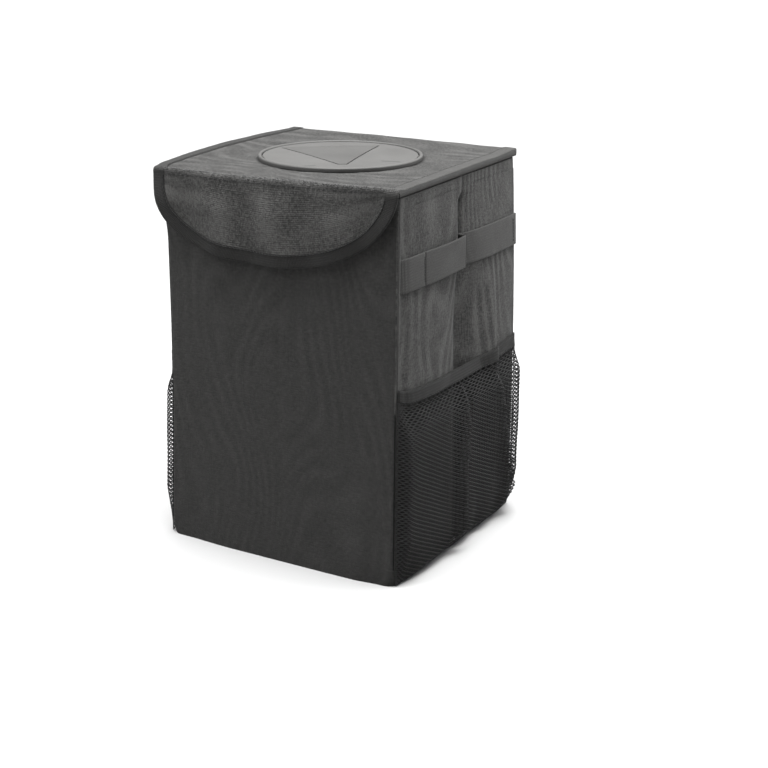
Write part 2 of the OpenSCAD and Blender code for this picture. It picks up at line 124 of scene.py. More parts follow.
def smooth_step(t: Array) -> Array:
    """Cubic from 0 to 1 with level ends: 3 t squared less 2 t cubed, with t held to 0..1."""
    t = held(t)
    return t * t * (3.0 - 2.0 * t)


def climb(value: Array, start: float, end: float) -> Array:
    """A smooth step from 0 at the start to 1 at the end, which may lie below the start."""
    return smooth_step((value - start) / (end - start))


def hump(t: Array) -> Array:
    """A sine arch: 0 at t = 0 and 1, and 1 halfway."""
    return np.sin(np.pi * t)


def bell(off: Array, wide: float) -> Array:
    """1 at no distance, falling off as e to the minus square of the distance over the width."""
    return np.exp(-((off / wide) ** 2))


def cusp(off: Array, soft: object) -> Array:
    """1 at no distance, with a sharp tip, falling off as e to the minus distance over softness."""
    return np.exp(-np.abs(off) / soft)


def even(count: int) -> Array:
    """Numbers from 0 to 1 at even steps."""
    return np.linspace(0, 1, count)


def unit(vectors: Array, tiny: float = 0.0) -> Array:
    """Vectors brought to length 1, with a tiny number added to the length where it may be nought."""
    return vectors / (np.linalg.norm(vectors, axis=-1, keepdims=True) + tiny)


def spread(direction: Sequence[float], line: Array) -> Array:
    """One direction, repeated for every point of a line."""
    return np.broadcast_to(np.array(direction), line.shape)


def distances(line: Array) -> Array:
    """Distance of each point of a line from its start, along the line."""
    return np.concatenate([[0.0], np.cumsum(np.linalg.norm(np.diff(line, axis=0), axis=1))])


def ring_quads(rows: int, cols: int, closed: bool) -> Array:
    """Quads between neighbouring rows of a grid of points.

    Args:
        rows: number of rows.
        cols: number of points in a row.
        closed: whether each row joins up with its own start.

    Returns:
        An array of four point numbers a quad.
    """
    i = np.arange(rows - 1)[:, None]
    j = np.arange(cols if closed else cols - 1)[None, :]
    k = (j + 1) % cols
    quads = np.stack([i * cols + j, i * cols + k, (i + 1) * cols + k, (i + 1) * cols + j], -1)
    return quads.reshape(-1, 4)


def sheet_shape(outer: Array, inner: Array, flat: Array, closed: bool = False) -> Shape:
    """A closed sheet between two grids, with a rim of quads where the grids end.

    Args:
        outer: grid of points on the outer face, rows by columns by 3.
        inner: the same grid on the inner face.
        flat: rows by columns by 2, the place of each point on the flat cloth.
        closed: whether the rows join up, as in a sleeve.

    Returns:
        The sheet as a shape.
    """
    rows, cols = outer.shape[:2]
    count = rows * cols
    quads = ring_quads(rows, cols, closed)
    number = np.arange(count).reshape(rows, cols)
    if closed:
        number = np.concatenate([number, number[:, :1]], 1)
        edges = [number[0][::-1], number[-1]]
    else:
        edges = [np.concatenate([number[0], number[1:, -1], number[-1, -2::-1], number[-2::-1, 0]])[::-1]]
    rims = [np.stack([e[:-1], e[1:], e[1:] + count, e[:-1] + count], -1) for e in edges]
    faces = [quads, quads[:, ::-1] + count] + rims
    points = np.concatenate([outer.reshape(-1, 3), inner.reshape(-1, 3)])
    return Shape(points, faces, np.concatenate([flat.reshape(-1, 2)] * 2))


def loft_shape(sections: Array, along: Array, round_it: Array, looped: bool = False) -> Shape:
    """A body through closed sections, with its two ends filled.

    Args:
        sections: sections by points by 3.
        along: distance of each section along the path.
        round_it: distance of each point round its section.
        looped: whether the last section joins the first, so that there are no ends.

    Returns:
        The body as a shape.
    """
    rows, cols = sections.shape[:2]
    faces: list = [ring_quads(rows, cols, True)]
    if looped:
        j = np.arange(cols)
        k = (j + 1) % cols
        last = (rows - 1) * cols
        faces.append(np.stack([last + j, last + k, k, j], -1))
    else:
        faces += [np.arange(cols)[None, ::-1], (np.arange(cols) + (rows - 1) * cols)[None, :]]
    u, v = np.meshgrid(along, round_it, indexing="ij")
    return Shape(sections.reshape(-1, 3), faces, np.stack([u, v], -1).reshape(-1, 2))


def tubes_shape(paths: Array, radius: float, sides: int, up: Array) -> Shape:
    """Many round tubes of one radius, each along its own path, with filled ends.

    A ring's points are centre + radius * (cos a * up' + sin a * across), where across is
    the path's direction crossed with up, and up' is across crossed with the direction.

    Args:
        paths: tubes by points by 3.
        radius: radius of the tubes.
        sides: number of sides.
        up: a direction that is never along the path, of the same shape as paths.

    Returns:
        All the tubes as one shape.
    """
    count, steps = paths.shape[:2]
    along = unit(np.gradient(paths, axis=1), 1e-12)
    across = unit(np.cross(along, up), 1e-12)
    upward = np.cross(across, along)
    angle = np.arange(sides) * 2 * np.pi / sides
    ring = np.cos(angle)[:, None] * upward[:, :, None, :] + np.sin(angle)[:, None] * across[:, :, None, :]
    points = (paths[:, :, None, :] + radius * ring).reshape(-1, 3)
    shift = np.arange(count) * steps * sides
    quads = (ring_quads(steps, sides, True)[None] + shift[:, None, None]).reshape(-1, 4)
    first = np.arange(sides)[None, ::-1] + shift[:, None]
    last = np.arange(sides)[None, :] + (steps - 1) * sides + shift[:, None]
    run = np.concatenate(
        [np.zeros((count, 1)), np.cumsum(np.linalg.norm(np.diff(paths, axis=1), axis=-1), 1)], 1
    )
    flat = np.stack(np.broadcast_arrays(run[:, :, None], (angle * radius)[None, None, :]), -1).reshape(-1, 2)
    return Shape(points, [quads, first, last], flat)


def stitches_shape(line: Array, out: Array, pitch: float, length: float, radius: float) -> Shape:
    """A row of sewn stitches along a line: each one is a short thread that arches out of the cloth.

    Args:
        line: points of the seam, close together.
        out: direction out of the cloth at each point.
        pitch: distance from stitch to stitch.
        length: length of a stitch.
        radius: radius of the thread.

    Returns:
        The stitches as one shape.
    """
    run = distances(line)
    count = max(1, int((run[-1] - length) / pitch))
    start = (run[-1] - (count - 1) * pitch - length) / 2 + np.arange(count) * pitch
    t = even(5)
    at = start[:, None] + t[None, :] * length
    rise = radius * (2.2 * hump(t) - 0.6)
    place, away = (np.stack([np.interp(at, run, a[:, i]) for i in range(3)], -1) for a in (line, out))
    away = unit(away)
    return tubes_shape(place + away * rise[None, :, None], radius, 5, away)


def all_joined(parts: Sequence[Shape]) -> Shape:
    """Several shapes as one, in their order."""
    return reduce(Shape.joined, parts)


def report(*pieces: Piece) -> None:
    """Log the name of each finished piece."""
    for piece in pieces:
        log.info("%s", piece.name)


def mesh_piece(name: str, shape: Shape, finish: Finish, crisp: float = 40.0) -> Piece:
    """Make a Blender object from a shape, with its faces turned outwards and its flat pattern as UVs in metres.

    Args:
        name: the object's name.
        shape: the shape, in millimetres.
        finish: its material.
        crisp: angle in degrees past which an edge is shaded sharp.

    Returns:
        The object, linked to the scene, at the origin.
    """
    faces = shape.faces
    volume = 0.0
    for f in faces:
        p = shape.points[f]
        for k in range(1, f.shape[1] - 1):
            volume += float(np.einsum("ij,ij->", p[:, 0], np.cross(p[:, k], p[:, k + 1])))
    if volume < 0:
        faces = [f[:, ::-1] for f in faces]
    loops = np.concatenate([f.ravel() for f in faces])
    sizes = np.concatenate([np.full(len(f), f.shape[1]) for f in faces])
    mesh = bpy.data.meshes.new(name)
    mesh.vertices.add(len(shape.points))
    mesh.vertices.foreach_set("co", (shape.points * MM).astype(np.float32).ravel())
    mesh.loops.add(len(loops))
    mesh.loops.foreach_set("vertex_index", loops.astype(np.int32))
    mesh.polygons.add(len(sizes))
    mesh.polygons.foreach_set("loop_start", np.concatenate([[0], np.cumsum(sizes)[:-1]]).astype(np.int32))
    mesh.update(calc_edges=True)
    mesh.polygons.foreach_set("use_smooth", np.ones(len(sizes), bool))
    mesh.set_sharp_from_angle(angle=math.radians(crisp))
    layer = mesh.uv_layers.new(name="UVMap")
    layer.data.foreach_set("uv", (shape.flat[loops] * MM).astype(np.float32).ravel())
    mesh.validate()
    piece = bpy.data.objects.new(name, mesh)
    bpy.context.scene.collection.objects.link(piece)
    mesh.materials.append(finish)
    return piece


# Finishes


class Graph:
    """A material's node tree, built with short calls. Sockets and plain numbers may be mixed."""

    def __init__(self, name: str) -> None:
        """Start an empty tree.

        Args:
            name: the material's name.
        """
        self.material = bpy.data.materials.new(name)
        self.material.use_nodes = True
        self.nodes = self.material.node_tree.nodes
        self.links = self.material.node_tree.links
        self.nodes.clear()

    def add(self, kind: str, **settings: object) -> bpy.types.Node:
        """A new node with some of its settings.

        Args:
            kind: the node's type.
            settings: its settings, by name.

        Returns:
            The node.
        """
        node = self.nodes.new(kind)
        for key, value in settings.items():
            setattr(node, key, value)
        return node

    def put(self, socket: Socket, value: object) -> None:
        """Link a socket to an input, or set the input's own number or colour.

        Args:
            socket: the input.
            value: a socket, number or colour, or None to leave the input alone.
        """
        if isinstance(value, Socket):
            self.links.new(value, socket)
        elif value is not None:
            socket.default_value = value

    def math(self, operation: str, a: object, b: object = None, c: object = None) -> Socket:
        """One math step.

        Args:
            operation: name of the operation, such as MULTIPLY.
            a: first socket or number.
            b: second, if the operation has it.
            c: third, if the operation has it.

        Returns:
            The result's socket.
        """
        node = self.add("ShaderNodeMath", operation=operation)
        for i, value in enumerate((a, b, c)):
            self.put(node.inputs[i], value)
        return node.outputs[0]

    def times(self, a: object, b: object) -> Socket:
        """The product of two values."""
        return self.math("MULTIPLY", a, b)

    def plus(self, a: object, b: object) -> Socket:
        """The sum of two values."""
        return self.math("ADD", a, b)

    def minus(self, a: object, b: object) -> Socket:
        """The first value less the second."""
        return self.math("SUBTRACT", a, b)

    def adding(self, a: object, b: object, c: object) -> Socket:
        """The product of two values, plus a third."""
        return self.math("MULTIPLY_ADD", a, b, c)

    def sine(self, a: object) -> Socket:
        """The sine of a value."""
        return self.math("SINE", a)

    def flat(self) -> tuple:
        """The piece's own flat pattern: its u and v in metres, and both as a vector."""
        both = self.add("ShaderNodeUVMap", uv_map="UVMap").outputs[0]
        return (*self.parts(both)[:2], both)

    def place(self) -> Socket:
        """Object coordinates in metres."""
        return self.add("ShaderNodeTexCoord").outputs["Object"]

    def parts(self, vector: Socket) -> tuple:
        """The x, y and z of a vector.

        Args:
            vector: the vector's socket.

        Returns:
            Its three parts' sockets.
        """
        node = self.add("ShaderNodeSeparateXYZ")
        self.put(node.inputs[0], vector)
        return node.outputs[0], node.outputs[1], node.outputs[2]

    def stretched(self, vector: Socket, scale: Sequence[float]) -> Socket:
        """A vector with each part multiplied by its own number.

        Args:
            vector: the vector's socket.
            scale: one factor for each part.

        Returns:
            The new vector's socket.
        """
        node = self.add("ShaderNodeMapping")
        self.put(node.inputs["Vector"], vector)
        node.inputs["Scale"].default_value = scale
        return node.outputs[0]

    def noise(self, vector: Socket, scale: float, detail: float = 2.0) -> Socket:
        """Cloudy noise, mostly about 0.5, with scale in cells a metre.

        Args:
            vector: where the noise is read.
            scale: cells a metre.
            detail: how many finer layers it has.

        Returns:
            The noise's socket.
        """
        node = self.add("ShaderNodeTexNoise")
        self.put(node.inputs["Vector"], vector)
        node.inputs["Scale"].default_value = scale
        node.inputs["Detail"].default_value = detail
        return node.outputs["Fac"]

    def mix(self, share: object, first: object, second: object) -> Socket:
        """A colour between two, each a socket or a colour, by a share from 0 to 1.

        Args:
            share: 0 gives the first, 1 the second.
            first: socket or colour.
            second: socket or colour.

        Returns:
            The colour's socket.
        """
        node = self.add("ShaderNodeMix", data_type="RGBA")
        for name, value in (("Factor", share), ("A", first), ("B", second)):
            self.put(node.inputs[name], (*value, 1.0) if isinstance(value, tuple) else value)
        return node.outputs["Result"]

    def ramp(self, value: object, low: float, high: float) -> Socket:
        """A value's share of the way from low to high, held to 0..1.

        Args:
            value: socket or number.
            low: the value that gives 0.
            high: the value that gives 1.

        Returns:
            The share's socket.
        """
        node = self.add("ShaderNodeMapRange")
        for name, number in (("Value", value), ("From Min", low), ("From Max", high)):
            self.put(node.inputs[name], number)
        return node.outputs[0]

    def finish(
        self, colour: object, roughness: object, height: object, relief: float, sheen: float = 0.0,
        specular: float = 0.5, strength: float = 1.0
    ) -> Finish:
        """Close the tree with a surface shader.

        Args:
            colour: base colour.
            roughness: roughness.
            height: socket with the surface's relief from 0 to 1, or None.
            relief: height of that relief in metres.
            sheen: share of fuzz on the surface.
            specular: level of the surface's gloss.
            strength: strength of the bump.

        Returns:
            The material.
        """
        shader = self.add("ShaderNodeBsdfPrincipled")
        self.put(shader.inputs["Base Color"], colour)
        self.put(shader.inputs["Roughness"], roughness)
        shader.inputs["Specular IOR Level"].default_value = specular
        if sheen:
            shader.inputs["Sheen Weight"].default_value = sheen
            shader.inputs["Sheen Roughness"].default_value = 0.5
        if height is not None:
            bump = self.add("ShaderNodeBump")
            bump.inputs["Distance"].default_value = relief
            bump.inputs["Strength"].default_value = strength
            self.put(bump.inputs["Height"], height)
            self.put(shader.inputs["Normal"], bump.outputs[0])
        out = self.add("ShaderNodeOutputMaterial")
        self.links.new(shader.outputs[0], out.inputs[0])
        return self.material


def grey(level: float, warmth: float = 0.0) -> tuple:
    """A grey of a linear level, with a little less blue as warmth rises."""
    return (level, level * (1 - warmth * 0.3), level * (1 - warmth))


@dataclass(frozen=True)
class Weave:
    """Plain-woven cloth: bumps where threads cross, speckled slub yarn, uneven dye and wavy contour lines.

    The contour lines are where the drifting threads of the cloth's two layers beat against each other, as on
    watered cloth. The cloth may be given painted shade: its colour darkened by a share below a height, for the
    shadow behind a net pocket, and a dark ring just outside a radius, for the contact shadow round the port's
    bead where the cloth is pressed down.
    """

    name: str
    level: float
    pitch: float = 0.0009
    contrast: float = 0.08
    speckle: float = 1.6
    grain: float = 560.0
    mottle: float = 0.14
    contours: float = 0.0
    contour_pitch: float = 0.0052
    level_lines: bool = False
    relief: float = 0.0002
    sheen: float = 0.04
    roughness: float = 0.9
    specular: float = 0.12
    painted_shade_below: tuple = ()
    painted_shade_ring_r: float = 0.0

    def slubs(self, g: Graph, both: object) -> Socket:
        """Speckle of thick and thin yarn: the sum of one noise stretched along u and one stretched
        along v, about 0.

        Args:
            g: the material's tree.
            both: the flat pattern as a vector.

        Returns:
            The speckle's socket.
        """
        level = g.noise(g.stretched(both, (0.45, 1.25, 1.0)), self.grain, 1.5)
        upright = g.noise(g.stretched(both, (1.25, 0.45, 1.0)), self.grain, 1.5)
        return g.minus(g.plus(level, upright), 1.0)

    def lines(self, g: Graph, u: object, both: object) -> Socket:
        """Contour lines: the sine of a broad noise plus a share of u (or v for level lines), sharpened
        to thin light lines, faded in and out by another noise.

        Args:
            g: the material's tree.
            u: the flat pattern's part across the lines.
            both: the flat pattern as a vector.

        Returns:
            The socket of the lines' strength.
        """
        bend = g.noise(g.stretched(both, (0.42, 1.0, 1.0) if self.level_lines else (1.0, 0.42, 1.0)), 13.0, 0.6)
        phase = g.adding(bend, 0.42 / self.contour_pitch, g.times(u, 2.2 / self.contour_pitch))
        wave = g.adding(g.sine(phase), 0.5, 0.5)
        fade = g.ramp(g.noise(both, 26.0, 1.0), 0.34, 0.6)
        return g.times(g.minus(g.math("POWER", wave, 1.5), 0.4), fade)

    def material(self) -> Finish:
        """Build the cloth's material.

        The thread pattern is the sine of u times the sine of v, each over one crossing;
        its sign says which thread is on top, and its size gives the relief.

        Returns:
            The material.
        """
        g = Graph(self.name)
        u, v, both = g.flat()
        x, y, z = g.parts(g.place())
        drift = g.times(g.minus(g.noise(both, 28.0, 1.0), 0.5), self.pitch * 2.5)
        a = g.sine(g.times(g.plus(u, drift), math.pi / self.pitch))
        b = g.sine(g.times(v, math.pi / self.pitch))
        cross = g.times(a, b)
        slub = self.slubs(g, both)
        broad = g.minus(g.noise(both, 55.0, 3.0), 0.5)
        share = g.adding(cross, self.contrast, g.adding(slub, self.speckle, 0.5))
        share = g.adding(broad, self.mottle * 2, share)
        if self.contours:
            share = g.adding(self.lines(g, v if self.level_lines else u, both), self.contours, share)
        colour = g.mix(share, grey(self.level * 0.45, 0.04), grey(self.level * 1.55, 0.04))
        height = g.plus(g.math("ABSOLUTE", cross), g.times(slub, 2.0))
        # Painted shade: the colour is darkened below a given height, for the shadow behind the net pocket.
        if self.painted_shade_below:
            low = g.ramp(z, self.painted_shade_below[0], self.painted_shade_below[0] - 0.004)
            colour = g.mix(g.times(low, self.painted_shade_below[1]), colour, (0.0, 0.0, 0.0))
        # Painted shadow: a dark ring just outside the port's bead, for the contact shadow round it.
        if self.painted_shade_ring_r:
            off = g.minus(g.math("SQRT", g.plus(g.times(x, x), g.times(y, y))), self.painted_shade_ring_r)
            near = g.math("EXPONENT", g.times(g.times(off, off), -1.0 / 0.0009**2))
            colour = g.mix(g.times(near, 0.55), colour, (0.0, 0.0, 0.0))
        return g.finish(
            colour, g.adding(slub, 0.3, self.roughness - 0.02), height, self.relief, self.sheen, self.specular
        )


@dataclass(frozen=True)
class Ribbed:
    """Woven tape or webbing: fine ribs across its length and uneven dye. Above the height high[0] the colour is
    painted lighter, by the factor high[1] on the left and high[2] on the right: a painted highlight on tape
    that lies on top, stronger on the right.
    """

    name: str
    level: float
    pitch: float = 0.0012
    relief: float = 0.00018
    contrast: float = 0.35
    speckle: float = 0.9
    specular: float = 0.15
    high: tuple = ()

    def material(self) -> Finish:
        """Build the tape's material: ribs are a sine along u, broken up by a sine along v.

        Returns:
            The material.
        """
        g = Graph(self.name)
        u, v, both = g.flat()
        rib = g.sine(g.times(u, 2 * math.pi / self.pitch))
        cross = g.sine(g.times(v, 2 * math.pi / (self.pitch * 1.4)))
        height = g.adding(g.times(rib, cross), 0.3, g.times(rib, 0.5))
        fine = g.noise(both, 620.0, 2.0)
        broad = g.noise(both, 80.0, 2.0)
        share = g.adding(height, self.contrast, 0.5)
        share = g.adding(g.minus(fine, 0.5), self.speckle, share)
        share = g.adding(g.minus(broad, 0.5), 0.4, share)
        colour = g.mix(share, grey(self.level * 0.4, 0.04), grey(self.level * 1.6, 0.04))
        # Painted highlight: above a height the colour is lighter, more on the right, where the tape lies on the
        # lid's top in the light.
        if self.high:
            x, _, z = g.parts(g.place())
            left, right = (
                g.mix(share, grey(self.level * k * 0.5, 0.04), grey(self.level * k * 1.5, 0.04))
                for k in self.high[1:]
            )
            above = g.mix(g.ramp(x, 0.0, 0.08), left, right)
            colour = g.mix(g.ramp(z, self.high[0] - 0.003, self.high[0]), colour, above)
        return g.finish(colour, g.adding(fine, 0.15, 0.78), height, self.relief, 0.04, self.specular)


@dataclass(frozen=True)
class Thread:
    """Twisted sewing thread or knitted yarn, with a fine turn along it."""

    name: str
    level: float
    roughness: float = 0.6

    def material(self) -> Finish:
        """Build the thread's material: slanting lines from the sum of u and v.

        Returns:
            The material.
        """
        g = Graph(self.name)
        u, v, both = g.flat()
        twist = g.sine(g.times(g.adding(v, 1.6, u), 2 * math.pi / 0.0006))
        share = g.adding(twist, 0.25, g.noise(both, 300.0, 2.0))
        colour = g.mix(share, grey(self.level * 0.6), grey(self.level * 1.5))
        return g.finish(colour, self.roughness, twist, 0.00006, 0.03, 0.15)


@dataclass(frozen=True)
class Coated:
    """Smooth leak-proof lining: a faint weave under a coating, with soft creases and a little gloss."""

    name: str
    level: float

    def material(self) -> Finish:
        """Build the lining's material.

        Returns:
            The material.
        """
        g = Graph(self.name)
        u, v, both = g.flat()
        grid = g.times(g.sine(g.times(u, 3500.0)), g.sine(g.times(v, 3500.0)))
        crease = g.noise(both, 38.0, 3.0)
        fine = g.noise(both, 900.0, 2.0)
        share = g.adding(grid, 0.08, g.adding(crease, 0.5, 0.25))
        colour = g.mix(share, grey(self.level * 0.7), grey(self.level * 1.3))
        rough = g.adding(fine, 0.2, 0.38)
        height = g.plus(crease, g.times(grid, 0.02))
        return g.finish(colour, rough, height, 0.0012, 0.0, 0.45, 0.6)


@dataclass(frozen=True)
class Pile:
    """Hook or loop tape: a close nap of tiny hooks or loops."""

    name: str
    level: float
    cell: float = 900.0

    def material(self) -> Finish:
        """Build the nap's material from small round cells and noise.

        Returns:
            The material.
        """
        g = Graph(self.name)
        both = g.flat()[2]
        cells = g.add("ShaderNodeTexVoronoi")
        g.put(cells.inputs["Vector"], both)
        cells.inputs["Scale"].default_value = self.cell
        near = cells.outputs["Distance"]
        fine = g.noise(both, 2500.0, 2.0)
        share = g.adding(near, -0.9, g.adding(fine, 0.6, 0.5))
        colour = g.mix(share, grey(self.level * 0.4), grey(self.level * 1.8))
        return g.finish(colour, 0.85, g.minus(1.0, near), 0.0005, 0.25, 0.3)


@dataclass(frozen=True)
class Rubber:
    """Matt moulded rubber with two short moulded creases beside the tongue and dust in its pores, with painted
    shade along the creases and low down on the bead.
    """

    name: str
    level: float
    top: float
    marks: tuple = ()

    def crease(self, g: Graph, x: object, y: object, ends: Sequence[float]) -> Socket:
        """How near a point is to a short line, from 0 far off to 1 on it.

        The distance is taken along and across the line from its middle, less half its
        length along, and it falls off as a bell.

        Args:
            g: the material's tree.
            x: socket with x in metres.
            y: socket with y in metres.
            ends: x and y of the line's two ends, in millimetres.

        Returns:
            The nearness as a socket.
        """
        x0, y0, x1, y1 = (c * MM for c in ends)
        half = math.hypot(x1 - x0, y1 - y0) / 2
        c, s = (x1 - x0) / (2 * half), (y1 - y0) / (2 * half)
        dx = g.minus(x, (x0 + x1) / 2)
        dy = g.minus(y, (y0 + y1) / 2)
        along = g.plus(g.times(dx, c), g.times(dy, s))
        across = g.minus(g.times(dy, c), g.times(dx, s))
        past = g.math("MAXIMUM", g.minus(g.math("ABSOLUTE", along), half), 0.0)
        squared = g.plus(g.times(past, past), g.times(across, across))
        return g.math("EXPONENT", g.times(squared, -1.0 / (0.0011**2)))

    def material(self) -> Finish:
        """Build the rubber's material.

        Returns:
            The material.
        """
        g = Graph(self.name)
        place = g.place()
        x, y, z = g.parts(place)
        fine = g.noise(place, 1300.0, 3.0)
        broad = g.noise(place, 22.0, 2.0)
        share = g.plus(g.times(fine, 0.35), g.adding(broad, 0.6, 0.05))
        height = g.times(fine, 0.06)
        for ends in self.marks:
            near = self.crease(g, x, y, ends)
            height = g.adding(near, -1.0, height)
            # Painted shade: the colour is darkened along each crease; the dip in the relief is the crease
            # itself.
            share = g.adding(near, -0.7, share)
        # Painted shade: the colour darkens over the 2.3 mm below the top and stays half a share darker lower
        # down, for the shadow along the bead's side.
        low = g.times(g.minus(self.top * MM, z), 220.0)
        share = g.minus(share, g.math("MINIMUM", g.math("MAXIMUM", low, 0.0), 0.5))
        colour = g.mix(share, grey(self.level * 0.5, 0.04), grey(self.level * 1.35, 0.04))
        return g.finish(colour, g.adding(fine, 0.12, 0.52), height, 0.0006, 0.0, 0.2)


@dataclass(frozen=True)
class Plastic:
    """Moulded plastic with a fine spark-eroded grain and rubbed, slightly shinier patches."""

    name: str
    level: float
    roughness: float = 0.42

    def material(self) -> Finish:
        """Build the plastic's material.

        Returns:
            The material.
        """
        g = Graph(self.name)
        place = g.place()
        grain = g.noise(place, 2600.0, 2.0)
        rubbed = g.noise(place, 70.0, 2.0)
        share = g.adding(grain, 0.4, g.times(rubbed, 0.5))
        colour = g.mix(share, grey(self.level * 0.7), grey(self.level * 1.5))
        rough = g.adding(rubbed, 0.25, self.roughness - 0.12)
        return g.finish(colour, rough, grain, 0.00006, 0.0, 0.5)


@dataclass(frozen=True)
class Board:
    """Stiff pressed board inside the walls, with a fibrous face."""

    name: str
    level: float

    def material(self) -> Finish:
        """Build the board's material.

        Returns:
            The material.
        """
        g = Graph(self.name)
        place = g.place()
        fibre = g.noise(g.stretched(place, (1.0, 1.0, 0.3)), 500.0, 3.0)
        colour = g.mix(fibre, grey(self.level * 0.6), grey(self.level * 1.4))
        return g.finish(colour, 0.85, fibre, 0.0002, 0.0, 0.3)


@dataclass(frozen=True)
class Backdrop:
    """Pale seamless paper."""

    name: str
    level: float

    def material(self) -> Finish:
        """Build the paper's material.

        Returns:
            The material.
        """
        g = Graph(self.name)
        fine = g.noise(g.place(), 3.0, 2.0)
        colour = g.mix(fine, grey(self.level * 0.995), grey(self.level))
        return g.finish(colour, 0.95, None, 0.0, 0.0, 0.0)


@dataclass
class Finishes:
    """Every material of the bin, made once."""

    front: Finish = field(
        default_factory=Weave(
            "front_cloth_weave", 0.02, speckle=0.9, mottle=0.16, contours=0.22, contour_pitch=0.0042
        ).material
    )
    # The side cloth is painted darker below 136 mm: painted shade behind the net pocket.
    side: Finish = field(
        default_factory=Weave(
            "side_cloth_weave", 0.029, speckle=1.4, mottle=0.5, contours=0.75, painted_shade_below=(0.136, 0.96)
        ).material
    )
    # The lid cloth gets a painted contact shadow in a ring just outside the port's bead.
    lid: Finish = field(
        default_factory=Weave(
            "lid_cloth_weave", 0.031, pitch=0.0011, contrast=0.12, speckle=1.7, grain=760.0, mottle=0.55,
            contours=0.6, contour_pitch=0.0075, level_lines=True, relief=0.0003, painted_shade_ring_r=0.0622
        ).material
    )
    lining: Finish = field(default_factory=Coated("lining_coat", 0.05).material)
    # The binding tape is painted lighter above 290.5 mm, 1.6 times on the left and 2.7 times on the right:
    # painted highlight on the lid's top edges.
    tape: Finish = field(
        default_factory=Ribbed("binding_tape_ribs", 0.0115, specular=0.1, high=(0.2905, 1.6, 2.7)).material
    )
    rim: Finish = field(default_factory=Ribbed("rim_tape_ribs", 0.012).material)
    hem: Finish = field(
        default_factory=Ribbed("elastic_hem_ribs", 0.009, pitch=0.0016, contrast=0.2, specular=0.08).material
    )
    webbing: Finish = field(default_factory=Ribbed("webbing_ribs", 0.024, pitch=0.0014, contrast=0.25).material)
    strap: Finish = field(default_factory=Ribbed("strap_webbing_ribs", 0.03, pitch=0.0014).material)
    net: Finish = field(default_factory=Thread("net_yarn", 0.016).material)
    # The frayed hairs are given five times the lid cloth's level: painted highlight for the light the loose
    # hairs catch.
    frayed: Finish = field(default_factory=Thread("frayed_yarn", 0.16).material)
    thread: Finish = field(default_factory=Thread("sewing_thread", 0.012).material)
    pile: Finish = field(default_factory=Pile("fastening_pile", 0.03).material)
    board: Finish = field(default_factory=Board("stiff_board", 0.03).material)
    plastic: Finish = field(default_factory=Plastic("buckle_plastic_grain", 0.02).material)


# The bin's form


